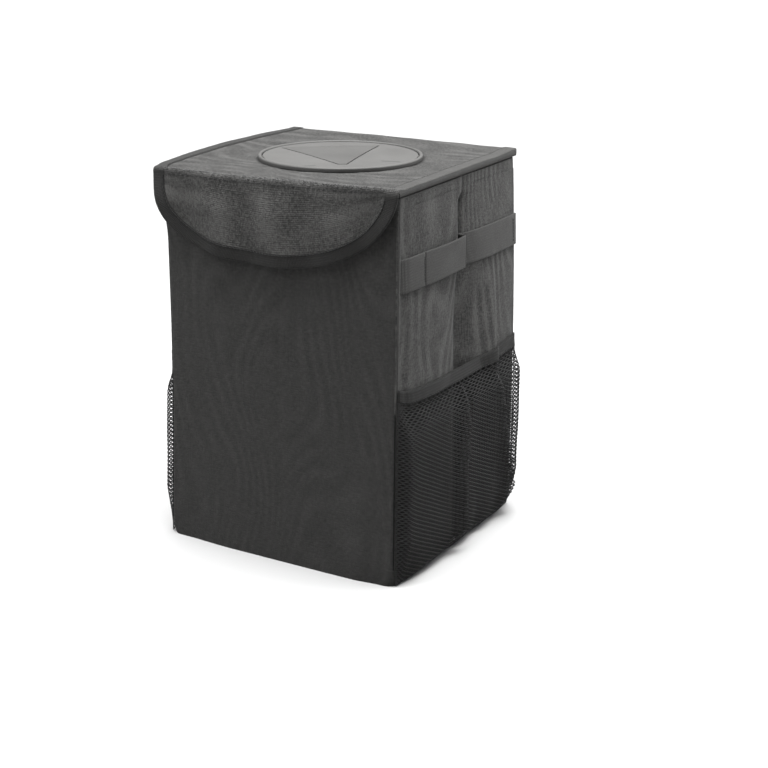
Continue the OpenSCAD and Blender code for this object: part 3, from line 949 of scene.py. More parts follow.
@dataclass(frozen=True)
class BinForm:
    """Outer form of the standing walls, as functions of place and height.

    The left front edge is drawn in at mid height, the back corners stand out towards
    the floor, and near the floor the corners are softly rounded.
    """

    half_x: float = 99.5
    half_y: float = 94.0
    top: float = 286.4
    cloth: float = 1.0
    corner_r: float = 3.0
    floor_r: float = 9.0
    floor_soft: float = 16.0
    draw_in: float = 6.2
    draw_peak: float = 195.0
    draw_end: float = 235.0
    flare: float = 6.5
    flare_z: float = 28.0
    crease_y: float = 5.0
    crease_deep: float = 3.5
    crease_low: float = 0.4
    crease_front: float = 6.0
    crease_back: float = 15.0
    nick_deep: float = 2.6
    nick_wide: float = 2.6
    puff: float = 3.0
    groove: float = 2.6
    groove_wide: float = 10.0
    fold_out: float = 2.8
    rim_z: float = 278.4

    def radius(self, z: Array) -> Array:
        """Radius of the upright corners, which grows to floor_r at the floor by a square."""
        near = 1.0 - held(z / self.floor_soft)
        return self.corner_r + (self.floor_r - self.corner_r) * near**2

    def front_shift(self, side: Side, z: Array) -> Array:
        """How far a front edge is drawn in at a height: on the left a sine rise to its peak, held up
        to the flap; nothing on the right.

        Args:
            side: which side.
            z: heights.

        Returns:
            The shifts outwards.
        """
        if side is Side.RIGHT:
            return np.zeros_like(z)
        up = held(z / self.draw_peak)
        down = 1.0 - 0.9 * climb(z, self.draw_end, self.top)
        return -self.draw_in * np.sin(np.pi / 2 * up) ** 1.1 * down

    def back_shift(self, z: Array) -> Array:
        """How far the back corners stand out at a height: most at flare_z, less by a square to the
        floor and by a quadratic to the rim.

        Args:
            z: heights.

        Returns:
            The shifts outwards.
        """
        up = np.maximum(z - self.flare_z, 0.0)
        down = np.maximum(1 - z / self.flare_z, 0.0)
        return self.flare + 0.0085 * up - 0.000128 * up**2 - 2.0 * down**2

    def edge_x(self, side: Side, y: Array, z: Array) -> Array:
        """Half width without crease or swell: the two edge shifts, each faded by a square."""
        s = (y + self.half_y) / (2 * self.half_y)
        return self.half_x + self.front_shift(side, z) * (1 - s) ** 2 + self.back_shift(z) * s**2

    def crease(self, y: Array, z: Array) -> Array:
        """Depth of the pinched crease.

        It falls off as an exponential with a rounded tip, fast towards the front and
        slowly towards the back. Its depth is a share that grows from the floor to the
        rim, times a factor that is larger below the band. A narrow nick is added above
        the band, and both are mostly closed just under the rim.

        Args:
            y: places along the side.
            z: heights.

        Returns:
            The depths.
        """
        share = self.crease_low + (1 - self.crease_low) * np.clip(
            (z - self.cloth) / (self.rim_z - self.cloth), 0, 1
        )
        off = y - self.crease_y
        soft = np.where(off < 0, self.crease_front, self.crease_back)
        nick = self.nick_deep * cusp(off, self.nick_wide) * climb(z, 222, 267)
        round_it = 1.2 + 4.0 * held((236 - z) / 60)
        close = climb(z, 276, 267)
        deep = self.crease_deep * (1 + 1.4 * climb(z, 240, 180))
        valley = deep * np.exp(-(np.sqrt(off**2 + round_it**2) - round_it) / soft) * share
        return (valley + nick) * (0.25 + 0.75 * close)

    def swell(self, y: Array, z: Array) -> Array:
        """How far the cloth swells out.

        A sine pillow on each side of the crease, a groove behind the front seam, a fold
        that slants down towards the back above the net, small lasting folds, and the
        doubled cloth under the rim.

        Args:
            y: places along the side.
            z: heights.

        Returns:
            The distances outwards.
        """
        low, high = -self.half_y, self.half_y
        along = np.where(
            y < self.crease_y, (y - low) / (self.crease_y - low), (y - self.crease_y) / (high - self.crease_y)
        )
        up = held((z - self.cloth) / (self.rim_z - self.cloth))
        level = hump(up) ** 0.7
        pillow = self.puff * hump(held(along)) ** 0.85 * level
        groove = self.groove * bell(y - low, self.groove_wide) * (0.5 + 0.5 * level)
        centre = 50.0 + (200.0 - z) * 0.06
        off = y - centre
        fold = (
            np.exp(-np.where(off < 0, (off / 15.0) ** 2, (off / 3.5) ** 2)) * climb(z, 232, 172)
            * climb(z, 0, 40)
        )
        folds = 0.3 * np.sin(y / 11.0 + 0.6 * np.sin(z / 37.0)) * level
        ends = hump(held((y - low) / (high - low)))
        doubled = 0.35 * smooth_step((z - self.rim_z) / 1.5)
        return pillow - groove + self.fold_out * fold + folds * ends + doubled

    def side_x(self, side: Side, y: Array, z: Array) -> Array:
        """Distance of the side cloth's outer face from the middle of the bin."""
        return self.edge_x(side, y, z) - self.crease(y, z) + self.swell(y, z)

    def front_y(self, x: Array, z: Array) -> Array:
        """Distance of the front or back cloth from the middle: flat, with a faint crease down its
        middle, a little slack, and a bulge near the floor.

        Args:
            x: places across the front.
            z: heights.

        Returns:
            The distances from the middle.
        """
        up = held(z / self.rim_z)
        crease = 0.6 * cusp(x - 3.0, 1.6) * hump(up)
        slack = 0.5 * hump(up) * np.cos(np.pi * x / (2 * self.half_x)) + 0.25 * np.sin(x / 23.0 + z / 60.0)
        bulge = 2.3 * climb(x, -90, -40) * climb(x, 97, 72) * held(1 - z / 120.0) ** 2
        return self.half_y - crease + slack * 0.6 + bulge

    def plan(self, front: bool, inset: float, z: Array, steps: int = 72, arc: int = 8) -> Array:
        """The front or back cloth at each height, from seam to seam round both corners.

        Along the row, a quarter circle leads from the left seam to the flat part and
        another from there to the right seam. The circle's radius is the corner's, less
        the inset.

        Args:
            front: whether this is the front rather than the back.
            inset: distance in from the outer face.
            z: heights, one a row.
            steps: steps along the flat part.
            arc: steps in each corner.

        Returns:
            Points, heights by places by 3.
        """
        sign = -1.0 if front else 1.0
        r = self.radius(z)[:, None]
        turn = np.linspace(0, np.pi / 2, arc + 1)[None, :]
        shift = {s: (self.front_shift(s, z) if front else self.back_shift(z))[:, None] for s in Side}
        edge = {s: self.half_x + shift[s] for s in Side}
        left_x = -(edge[Side.LEFT] - r) - (r - inset) * np.cos(turn)
        right_x = (edge[Side.RIGHT] - r) + (r - inset) * np.sin(turn)
        t = even(steps + 1)[None, 1:-1]
        flat_x = left_x[:, -1:] + (right_x[:, :1] - left_x[:, -1:]) * t
        zz = np.broadcast_to(z[:, None], flat_x.shape)
        fade = np.minimum(1.0, np.minimum(t, 1 - t) * 8)
        flat_y = self.half_y + (self.front_y(flat_x, zz) - self.half_y) * fade - inset
        left_y = self.half_y - r + (r - inset) * np.sin(turn)
        right_y = self.half_y - r + (r - inset) * np.cos(turn)
        x = np.concatenate([left_x, flat_x, right_x], 1)
        y = np.concatenate([left_y, flat_y, right_y], 1)
        return np.stack([x, sign * y, np.broadcast_to(z[:, None], x.shape)], -1)

    def side(self, side: Side, inset: float, z: Array, steps: int = 150) -> Array:
        """The side cloth at each height, from the front seam to the back seam.

        Args:
            side: which side.
            inset: distance in from the outer face.
            z: heights, one a row.
            steps: steps along the side.

        Returns:
            Points, heights by places by 3.
        """
        t = even(steps + 1)[None, :]
        reach = (self.half_y - self.radius(z))[:, None]
        y = -reach + 2 * reach * t
        zz = np.broadcast_to(z[:, None], y.shape)
        ends = np.minimum(1.0, np.minimum(t, 1 - t) * 30)
        edge = np.where(
            t < 0.5, self.half_x + self.front_shift(side, z)[:, None], self.half_x + self.back_shift(z)[:, None]
        )
        x = edge + (self.side_x(side, y, zz) - edge) * ends - inset
        return np.stack([side.value * x, y, zz], -1)


def run_along(grid: Array) -> Array:
    """Distance along each row of a grid, averaged over the rows.

    Args:
        grid: rows by columns by 3.

    Returns:
        One distance a column.
    """
    step = np.linalg.norm(np.diff(grid, axis=1), axis=-1).mean(0)
    return np.concatenate([[0.0], np.cumsum(step)])


def flat_of(grid: Array, heights: Array) -> Array:
    """Flat pattern of a grid whose rows are heights: distance along the row, and height."""
    u, v = np.meshgrid(run_along(grid), heights)
    return np.stack([u, v], -1)


@dataclass
class Walls:
    """The bin's cloth walls and base."""

    form: BinForm
    finishes: Finishes

    def heights(self) -> Array:
        """Heights of the rows: close together near the floor, where the corners round off, and at the
        rim's seam.

        Returns:
            The heights, from the floor up.
        """
        form = self.form
        return np.concatenate(
            [
                np.linspace(0.0, form.floor_soft, 9)[:-1], np.linspace(form.floor_soft, form.rim_z - 0.4, 96),
                form.rim_z + np.array([0.3, 0.9, 1.5]), np.linspace(form.rim_z + 2.5, form.top, 5)
            ]
        )

    def panel(self, name: str, front: bool) -> Piece:
        """The front or back cloth.

        Args:
            name: the CAD node that it stands for.
            front: whether this is the front.

        Returns:
            The piece.
        """
        z = self.heights()
        outer = self.form.plan(front, 0.0, z)
        inner = self.form.plan(front, self.form.cloth, z)
        piece = mesh_piece(
            name + "_cloth", sheet_shape(outer, inner, flat_of(outer, z)), self.finishes.front
        )
        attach(piece, Body.BIN.value)
        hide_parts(name)
        return piece

    def gusset(self, side: Side) -> Piece:
        """A side cloth with its pinched crease.

        Args:
            side: which side.

        Returns:
            The piece.
        """
        z = self.heights()
        outer = self.form.side(side, 0.0, z)
        inner = self.form.side(side, self.form.cloth, z)
        name = side.word + "_side_panel"
        piece = mesh_piece(
            name + "_cloth", sheet_shape(outer, inner, flat_of(outer, z)), self.finishes.side
        )
        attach(piece, Body.BIN.value)
        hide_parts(name)
        return piece

    def outline(self, inset: float, z: float) -> Array:
        """The whole plan of the walls at one height, once round.

        Args:
            inset: distance in from the outer face.
            z: the height.

        Returns:
            Points round the walls.
        """
        form = self.form
        at = np.array([z])
        front = form.plan(True, inset, at)[0]
        right = form.side(Side.RIGHT, inset, at)[0]
        back = form.plan(False, inset, at)[0][::-1]
        left = form.side(Side.LEFT, inset, at)[0][::-1]
        return np.concatenate([front[:-1], right[:-1], back[:-1], left[:-1]])

    def base(self) -> Piece:
        """The base cloth: rings from the walls' outline to the middle, a closed sheet one cloth thick.

        Returns:
            The piece.
        """
        edge = self.outline(self.form.cloth, 0.5)
        shares = np.linspace(1.0, 0.0, 14)[:-1]
        rings = edge[None, :, :2] * shares[:, None, None]
        middle = np.zeros((1, 2))
        shape = disc_shape(rings, middle, 0.0, self.form.cloth)
        piece = mesh_piece("base_cloth", shape, self.finishes.front)
        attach(piece, Body.BIN.value)
        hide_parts("base_panel")
        return piece

    def piping(self) -> Piece:
        """A folded seam edge of the side cloth down each upright corner: a thin tube that stands just
        proud of it.

        Returns:
            The piece.
        """
        form = self.form
        z = np.linspace(14.0, form.rim_z, 70)
        r = form.radius(z)
        paths = []
        for front in (True, False):
            for side in Side:
                edge = form.half_x + (form.front_shift(side, z) if front else form.back_shift(z))
                x = side.value * (edge - r * (1 - math.sqrt(0.5)) - 0.1)
                y = (-1 if front else 1) * (form.half_y - r * (1 - math.sqrt(0.5)) - 0.1)
                paths.append(np.stack([x, y, z], -1))
        lines = np.stack(paths)
        up = spread([1.0, 0.3, 0.0], lines)
        piece = mesh_piece("corner_seams", tubes_shape(lines, 0.7, 8, up), self.finishes.side)
        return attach(piece, Body.BIN.value)

    def build(self) -> None:
        """Make every wall piece."""
        report(self.panel("front_panel", True), self.panel("back_panel", False))
        report(*[self.gusset(side) for side in Side], self.base(), self.piping())


def disc_shape(rings: Array, middle: Array, low: float, high: float) -> Shape:
    """A flat closed plate from rings of points that shrink to a middle point.

    Args:
        rings: rings by points by 2, the outermost first.
        middle: the middle point, 1 by 2.
        low: height of the lower face.
        high: height of the upper face.

    Returns:
        The plate as a shape.
    """
    rows, cols = rings.shape[:2]
    flat = np.concatenate([rings.reshape(-1, 2), middle])
    count = len(flat)
    points = np.concatenate([np.column_stack([flat, np.full(count, h)]) for h in (high, low)])
    quads = ring_quads(rows, cols, True)
    j = np.arange(cols)
    k = (j + 1) % cols
    last = (rows - 1) * cols
    fan = np.stack([last + j, last + k, np.full(cols, rows * cols)], -1)
    rim = np.stack([k, j, j + count, k + count], -1)
    faces = [quads, fan, quads[:, ::-1] + count, fan[:, ::-1] + count, rim]
    return Shape(points, faces, np.concatenate([flat, flat]))


@dataclass
class Interior:
    """The liner and the tape round the mouth."""

    form: BinForm
    walls: Walls
    finishes: Finishes
    liner_x: float = 1.1
    liner_y: float = 3.0
    thick: float = 0.6
    floor: float = 3.0
    rim_low: float = 278.4
    rim_high: float = 286.8
    tape: float = 0.4

    def ring(self, x_in: float, y_in: float, z: float) -> Array:
        """The liner's plan: the walls' outline drawn in by x_in at the sides and y_in at the front and back.

        Args:
            x_in: distance in at the sides.
            y_in: distance in at the front and back.
            z: the height.

        Returns:
            Points round the bin.
        """
        form = self.form
        plan = self.walls.outline(0.0, z)
        plan[:, 0] *= (form.half_x - x_in) / form.half_x
        plan[:, 1] *= (form.half_y - y_in) / form.half_y
        return plan

    def liner(self) -> Piece:
        """The liner's walls and floor in one closed sheet: rings run up the outside, over the top and
        down the inside.

        Returns:
            The piece.
        """
        heights = np.concatenate([np.linspace(self.floor, 26.0, 8), np.linspace(30.0, self.form.top - 0.2, 50)])
        walls = [
            np.stack([self.ring(self.liner_x + t, self.liner_y + t, z) for z in heights])
            for t in (0.0, self.thick)
        ]
        walls[1][:, :, 2] = np.maximum(walls[1][:, :, 2], self.floor + self.thick)
        shares = np.linspace(1.0, 0.0, 12)[1:-1]
        parts = []
        for grid, height in ((walls[0], self.floor), (walls[1], self.floor + self.thick)):
            bottom = grid[0][None] * shares[::-1, None, None]
            bottom[:, :, 2] = height
            parts.append(np.concatenate([bottom, grid]))
        rows, cols = parts[0].shape[:2]
        run = np.concatenate([[0.0], np.cumsum(np.linalg.norm(np.diff(parts[0], axis=0), axis=-1).mean(1))])
        closed = np.concatenate([parts[0], parts[0][:, :1]], 1)
        u = run_along(closed[-1:])[:-1]
        flat = np.stack(np.meshgrid(u, run), -1)
        shape = sheet_shape(parts[0], parts[1], flat, closed=True)
        # The two middles are closed with fans in place of the inner rim
        shape.faces.pop(2)
        count = rows * cols
        j = np.arange(cols)
        k = (j + 1) % cols
        middle = np.array([[0, 0, self.floor], [0, 0, self.floor + self.thick]])
        shape.points = np.concatenate([shape.points, middle])
        shape.flat = np.concatenate([shape.flat, np.zeros((2, 2))])
        total = 2 * count
        shape.faces.append(np.stack([k, j, np.full(cols, total)], -1))
        shape.faces.append(np.stack([j + count, k + count, np.full(cols, total + 1)], -1))
        piece = mesh_piece("liner_bag", shape, self.finishes.lining)
        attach(piece, Body.BIN.value)
        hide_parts("liner")
        return piece

    def rim(self) -> Piece:
        """The tape round the mouth: its section runs over the top edge and down the inside of the liner.

        Returns:
            The piece.
        """
        inside = self.liner_x + self.thick
        y_in = self.liner_y + self.thick
        t = self.tape
        corners = [
            (0.0, 0.0, self.form.top), (0.0, 0.0, self.rim_high - 0.15), (0.15, 0.15, self.rim_high),
            (inside + t - 0.15, y_in + t - 0.15, self.rim_high), (inside + t, y_in + t, self.rim_high - 0.15),
            (inside + t, y_in + t, self.rim_low), (inside, y_in, self.rim_low), (inside, y_in, self.form.top),
        ]
        rings = np.stack([self.ring(x, y, z) for x, y, z in corners], 1)
        for i, (_, _, z) in enumerate(corners):
            rings[:, i, 2] = z
        run = distances(rings[:, 0])
        around = np.array([0.0, 0.3, 0.5, 5.0, 5.3, 13.5, 13.8, 21.0])
        piece = mesh_piece("rim_tape", loft_shape(rings, run, around, looped=True), self.finishes.rim)
        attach(piece, Body.BIN.value)
        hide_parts("rim_binding")
        return piece

    def rim_seam(self) -> Piece:
        """Stitches along the lower edge of the rim tape, on the inside.

        Returns:
            The piece.
        """
        line = self.ring(
            self.liner_x + self.thick + self.tape, self.liner_y + self.thick + self.tape, self.rim_low + 1.5
        )
        line[:, 2] = self.rim_low + 1.5
        line = np.concatenate([line, line[:1]])
        out = -line * np.array([1.0, 1.0, 0.0])
        out[:, 0] = np.where(np.abs(line[:, 0]) > 94, out[:, 0], 0)
        out[:, 1] = np.where(np.abs(line[:, 1]) > 89, out[:, 1], 0)
        out += 1e-6
        piece = mesh_piece(
            "rim_stitches", stitches_shape(line, out, 3.2, 2.4, 0.22), self.finishes.thread
        )
        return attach(piece, Body.BIN.value)

    def build(self) -> None:
        """Make the liner, the rim tape and its seam."""
        report(self.liner(), self.rim(), self.rim_seam())


@dataclass
class SideBand:
    """A webbing band sewn flat along a side, lifted into a loop in its middle."""

    form: BinForm
    finishes: Finishes
    side: Side
    low: float = 219.5
    high: float = 244.0
    thick: float = 1.4
    gap: float = 0.3
    loop_front: float = -58.7
    loop_back: float = 3.0
    loop_out: float = 3.6
    rise: float = 0.55
    pleat: float = 0.8

    def path(self, z: Array) -> Array:
        """Plan path of the band's middle at each height.

        Flat on the cloth up to a tight crease, then a sine rise away from the cloth, a
        face that bows out a little, and a steep pleat back down to the cloth. At the
        front seam the band is drawn in flush.

        Args:
            z: heights.

        Returns:
            Heights by places by 3.
        """
        form = self.form
        half = form.half_y - form.corner_r
        edges = [
            -half, self.loop_front - 2.5, self.loop_front + 2.5, self.loop_back - self.pleat,
            self.loop_back + self.pleat, half + 1.0
        ]
        y = np.concatenate(
            [np.linspace(a, b, n)[:-1] for a, b, n in zip(edges[:-1], edges[1:], (24, 13, 44, 8, 44))]
            + [edges[-1:]]
        )
        loop_x = form.half_x + self.loop_out + self.thick / 2
        zz, yy = np.meshgrid(z, y, indexing="ij")
        gap = self.gap * smooth_step((yy + half) / 8)
        cloth = form.side_x(self.side, yy, zz) + gap + self.thick / 2 * smooth_step((yy + half + 2) / 6)
        along = held((y - self.loop_front) / (self.loop_back - self.loop_front))
        fall = 1 - smooth_step((y - self.loop_back + self.pleat) / (2 * self.pleat))
        up = (np.sin(np.pi / 2 * held(along / self.rise)) * fall)[None, :]
        bow = 0.5 * hump(along)[None, :] * (1 + 0.5 * ((zz - self.low) / (self.high - self.low) - 0.5))
        dent = 0.9 * cusp(yy - self.loop_front, 0.7)
        sag = 0.3 * np.sin(yy / 9.0) * np.sin((zz - self.low) / 6.0)
        x = cloth * (1 - up) + (loop_x + bow + sag) * up - dent
        return np.stack([self.side.value * x, yy, zz], -1)

    def band(self) -> Piece:
        """The band as a loft: at each place along it, a flat section with rounded edges.

        Returns:
            The piece.
        """
        t = np.array([0.0, 0.35, 0.8, 1.0])
        rows = np.concatenate(
            [self.low + t * 0.6, np.linspace(self.low + 2, self.high - 2, 6), self.high - t[::-1] * 0.6]
        )
        half = np.concatenate(
            [np.array([0.25, 0.7, 0.95, 1.0]), np.ones(6), np.array([1.0, 0.95, 0.7, 0.25])]
        ) * self.thick / 2
        middle = self.path(rows)
        along = np.gradient(middle, axis=1)
        normal = unit(np.cross(along, np.array([0.0, 0.0, 1.0])))
        outer = middle + normal * half[:, None, None]
        inner = middle - normal * half[:, None, None]
        sections = np.concatenate([outer, inner[::-1]], 0).transpose(1, 0, 2)
        run = run_along(middle)
        around = np.concatenate([rows, rows[::-1] + 30])
        name = self.side.word + "_band"
        piece = mesh_piece(
            name + "_webbing", loft_shape(sections, run, around), self.finishes.webbing
        )
        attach(piece, Body.BIN.value)
        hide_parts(name)
        return piece

    def seams(self) -> Piece:
        """Upright rows of stitches: one in front of the loop, one behind it and one at the back end.

        Returns:
            The piece.
        """
        z = np.linspace(self.low + 1.2, self.high - 1.2, 30)
        rows = []
        for y in (self.loop_front - 1.4, self.loop_back + 3.0, self.form.half_y - 8.0):
            x = self.form.side_x(self.side, np.full_like(z, y), z) + self.gap + self.thick
            line = np.stack([self.side.value * x, np.full_like(z, y), z], -1)
            out = spread([self.side.value, 0.0, 0.0], line)
            rows.append(stitches_shape(line, out, 2.6, 2.0, 0.25))
        piece = mesh_piece(self.side.word + "_band_stitches", all_joined(rows), self.finishes.thread)
        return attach(piece, Body.BIN.value)

    def build(self) -> None:
        """Make the band and its seams."""
        report(self.band(), self.seams())


@dataclass
class NetPocket:
    """A gathered pocket of knitted net with an elastic hem that hugs the side.

    Each of the ridges is its height, its places at the hem and at the floor, and how
    softly it rises.
    """

    form: BinForm
    finishes: Finishes
    side: Side
    mouth: float = 144.0
    rise: float = 5.0
    rise_soft: float = 11.0
    hem_high: float = 10.8
    hem_thick: float = 1.3
    out: float = 8.2
    hem_share: float = 0.3
    mouth_share: float = 0.16
    seam_in: float = 3.0
    back_in: float = 2.5
    turn: float = 5.0
    gather: float = 2.8
    gathers: int = 5
    low: float = 1.0
    fit: float = 0.3
    belly: float = 0.24
    shoulder: float = 0.86
    cell: float = 7.0
    row: float = 3.3
    yarn: float = 0.44
    ridges: tuple = ((9.0, -2.0, -15.0, 11.0), (7.6, 47.0, 78.0, 9.0))

    def plan(self, t: Array) -> tuple:
        """Place along the side and share of the bulge for t from 0 at the front seam to 1 at the back one.

        Near each seam the net makes a quarter turn outwards, and it runs level between.

        Args:
            t: places as shares.

        Returns:
            y, and the share of the bulge there.
        """
        front, back = -(self.form.half_y - self.seam_in), self.form.half_y - self.back_in
        part = 0.075
        near = np.minimum(t, 1 - t)
        angle = np.pi / 2 * held(near / part)
        level = (back - front - 2 * self.turn) / (1 - 2 * part)
        along = self.turn * (1 - np.cos(angle)) + level * np.maximum(0.0, near - part)
        return np.where(t < 0.5, front + along, back - along), np.sin(angle)

    def mouth_z(self, y: Array) -> Array:
        """Height of the mouth: lowest behind the middle, up to both seams by powers, and steeper at
        the front seam by an exponential.

        Args:
            y: places along the side.

        Returns:
            The heights.
        """
        back = 4.4 * held((y - 12) / 82) ** 1.6
        front = 2.5 * held((12 - y) / 68) ** 2
        return self.mouth + back + front + self.rise * np.exp(
            -(y + self.form.half_y - self.seam_in) / self.rise_soft
        )

    def hem_z(self, y: Array) -> Array:
        """Height of the hem's lower edge, which narrows towards the front seam.

        Args:
            y: places along the side.

        Returns:
            The heights.
        """
        return self.mouth_z(y) - self.hem_high * (
            1 - 0.15 * np.exp(-(y + self.form.half_y - self.seam_in) / 12.0)
        )

    def bulge(self, s: Array) -> Array:
        """Share of the full bulge at a share s of the way up the net.

        A superellipse of power 2.2 from the floor seam up to the belly, level to the
        shoulder, then a cubic in to the hem's lower edge, and a straight line to the
        mouth, where s is about 1.12.

        Args:
            s: shares of the way up.

        Returns:
            The shares of the full bulge.
        """
        low = (1 - held(1 - s / self.belly) ** 2.2) ** (1 / 2.2)
        high = 1 - (1 - self.hem_share) * climb(s, self.shoulder, 1)
        return low * high - (self.hem_share - self.mouth_share) * held((s - 1) / 0.118)

    def fold(self, y: Array, s: Array, top: float, low: float, soft: float) -> Array:
        """A fold that slants from one place at the hem to another at the floor.

        Across it, the net rises slowly towards a sharp ridge and drops behind it into
        a narrow valley: an exponential on each side of the ridge, less a bell.

        Args:
            y: places along the side.
            s: shares of the way up.
            top: its place at the hem.
            low: its place at the floor.
            soft: how softly it rises.

        Returns:
            The fold's heights, as shares of the full one.
        """
        off = y - (low + (top - low) * s) - 1.2 * np.sin(s * 9.0)
        ridge = cusp(off, np.where(off < 0, soft, 2.8)) - 0.5 * bell(off - 6.0, 3.5)
        return ridge * held(s * 7) * (1 - held(s) ** 5)

    def place(self, t: Array, s: Array, proud: float = 0.0) -> Array:
        """A point of the net.

        It stands off the straight side by the bulge, the gathers at the floor, the
        ridges and small dents, all less near the floor's corners and at the front end
        of the mouth, and never goes through the side cloth.

        Args:
            t: share along the side.
            s: share up the net, which may pass 1 into the hem.
            proud: distance further out.

        Returns:
            The points.
        """
        y, share = self.plan(t)
        z = self.low + (self.hem_z(y) - self.low) * s
        up = held(s)
        waves = self.gather * np.abs(
            np.sin(np.pi * self.gathers * t + 0.4 + 0.5 * np.sin(9 * t))
        ) * (1 - up) ** 2 * hump(t)
        folds = sum(high * self.fold(y, up, *ends) for high, *ends in self.ridges)
        dents = 0.5 * np.sin(y / 6.5 + 3 * up) * np.sin(z / 11.0) * hump(up)
        near = climb(np.abs(y + 2), 66, 88)
        corner = (1 - 0.9 * near * held(1 - z / 36)) * (
            1 - 0.85 * climb(-y, 62, 88) * smooth_step((s - 0.8) / 0.2)
        )
        out = (self.out * self.bulge(s) + (waves + folds + dents) * held(s * 20)) * corner
        cloth = self.form.edge_x(self.side, y, z)
        x = (
            np.maximum(cloth + share * out, self.form.side_x(self.side, y, z) + 0.4) + self.fit
            + proud * np.maximum(share, 0.15)
        )
        return np.stack([self.side.value * x, y - proud * (1 - share) * np.sign(0.5 - t), z], -1)

    def net(self) -> Piece:
        """The net: upright yarns that zigzag and touch their neighbours in turn, leaving six-sided openings.

        Yarn k stands at k cells' halves along the side. Its offset is a trapezoid wave up
        the net, so that it runs beside the next yarn over one straight length and beside
        the one before it over the next.

        Returns:
            The piece.
        """
        wide = float(np.linalg.norm(np.diff(self.place(even(400), np.full(400, 0.5)), axis=0), axis=1).sum())
        count = int(wide / (self.cell / 2))
        tall = self.mouth - self.hem_high + 3
        periods = int(tall / self.row)
        wave = np.array([1.0, 1.0, -1.0, -1.0]) * 0.5 * (1 - 2.4 * self.yarn / self.cell)
        step = np.array([0.0, 0.27, 0.5, 0.77])
        s = ((np.arange(periods)[:, None] + step[None, :]) / periods).ravel()
        s = np.append(s, 1.02)
        offset = np.append(np.tile(wave, periods), wave[0])
        k = np.arange(count + 1)
        sign = np.where(k % 2 == 0, 1.0, -1.0)
        t = (k[:, None] + sign[:, None] * offset[None, :]) / count
        t = held(t)
        ss = np.broadcast_to(s[None, :], t.shape)
        paths = self.place(t, ss, self.yarn)
        ahead = self.place(held(t + 0.002), ss, self.yarn) - self.place(held(t - 0.002), ss, self.yarn)
        up = unit(np.cross(ahead, np.array([0.0, 0.0, 1.0])), 1e-9)
        name = self.side.word + "_mesh_pocket"
        shape = tubes_shape(paths, self.yarn, 6, up)
        piece = mesh_piece(name + "_yarns", shape, self.finishes.net, 80.0)
        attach(piece, Body.BIN.value)
        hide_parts(name)
        return piece

    def hem(self) -> Piece:
        """The elastic hem: a flat tube over the net's top edge, in a section with rounded edges.

        Returns:
            The piece.
        """
        t = even(260)
        rows = np.array([0.0, 0.03, 0.1, 0.25, 0.5, 0.75, 0.9, 0.97, 1.0])
        thick = np.array([0.3, 0.75, 1.0, 0.95, 0.85, 0.95, 1.0, 0.75, 0.3]) * self.hem_thick
        y, _ = self.plan(t)
        low, high = self.hem_z(y), self.mouth_z(y)
        tt = np.broadcast_to(t[None, :], (len(rows), len(t)))
        s = (low[None, :] + (high - low)[None, :] * rows[:, None] - self.low) / (low - self.low)[None, :]
        inner = self.place(tt, s, 0.0)
        outer = np.stack([self.place(t, s[i], thick[i]) for i in range(len(rows))])
        sections = np.concatenate([outer, inner[::-1]], 0).transpose(1, 0, 2)
        run = run_along(outer)
        around = np.concatenate([rows * self.hem_high, (1 + rows) * self.hem_high])
        name = self.side.word + "_pocket_hem"
        piece = mesh_piece(name + "_elastic", loft_shape(sections, run, around), self.finishes.hem)
        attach(piece, Body.BIN.value)
        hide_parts(name)
        return piece

    def seam(self) -> Piece:
        """Stitches along the hem, just above its lower edge.

        Returns:
            The piece.
        """
        t = np.linspace(0.03, 0.97, 400)
        y, _ = self.plan(t)
        low, high = self.hem_z(y), self.mouth_z(y)
        s = (low + (high - low) * 0.14 - self.low) / (low - self.low)
        line = self.place(t, s, self.hem_thick)
        out = self.place(t, s, self.hem_thick + 1) - line
        piece = mesh_piece(
            self.side.word + "_hem_stitches", stitches_shape(line, out, 3.0, 2.3, 0.22), self.finishes.thread,
        )
        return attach(piece, Body.BIN.value)

    def build(self) -> None:
        """Make the net, its hem and the hem's seam."""
        net = self.net()
        hem = self.hem()
        report(net, hem, self.seam())


# Lid and front flap


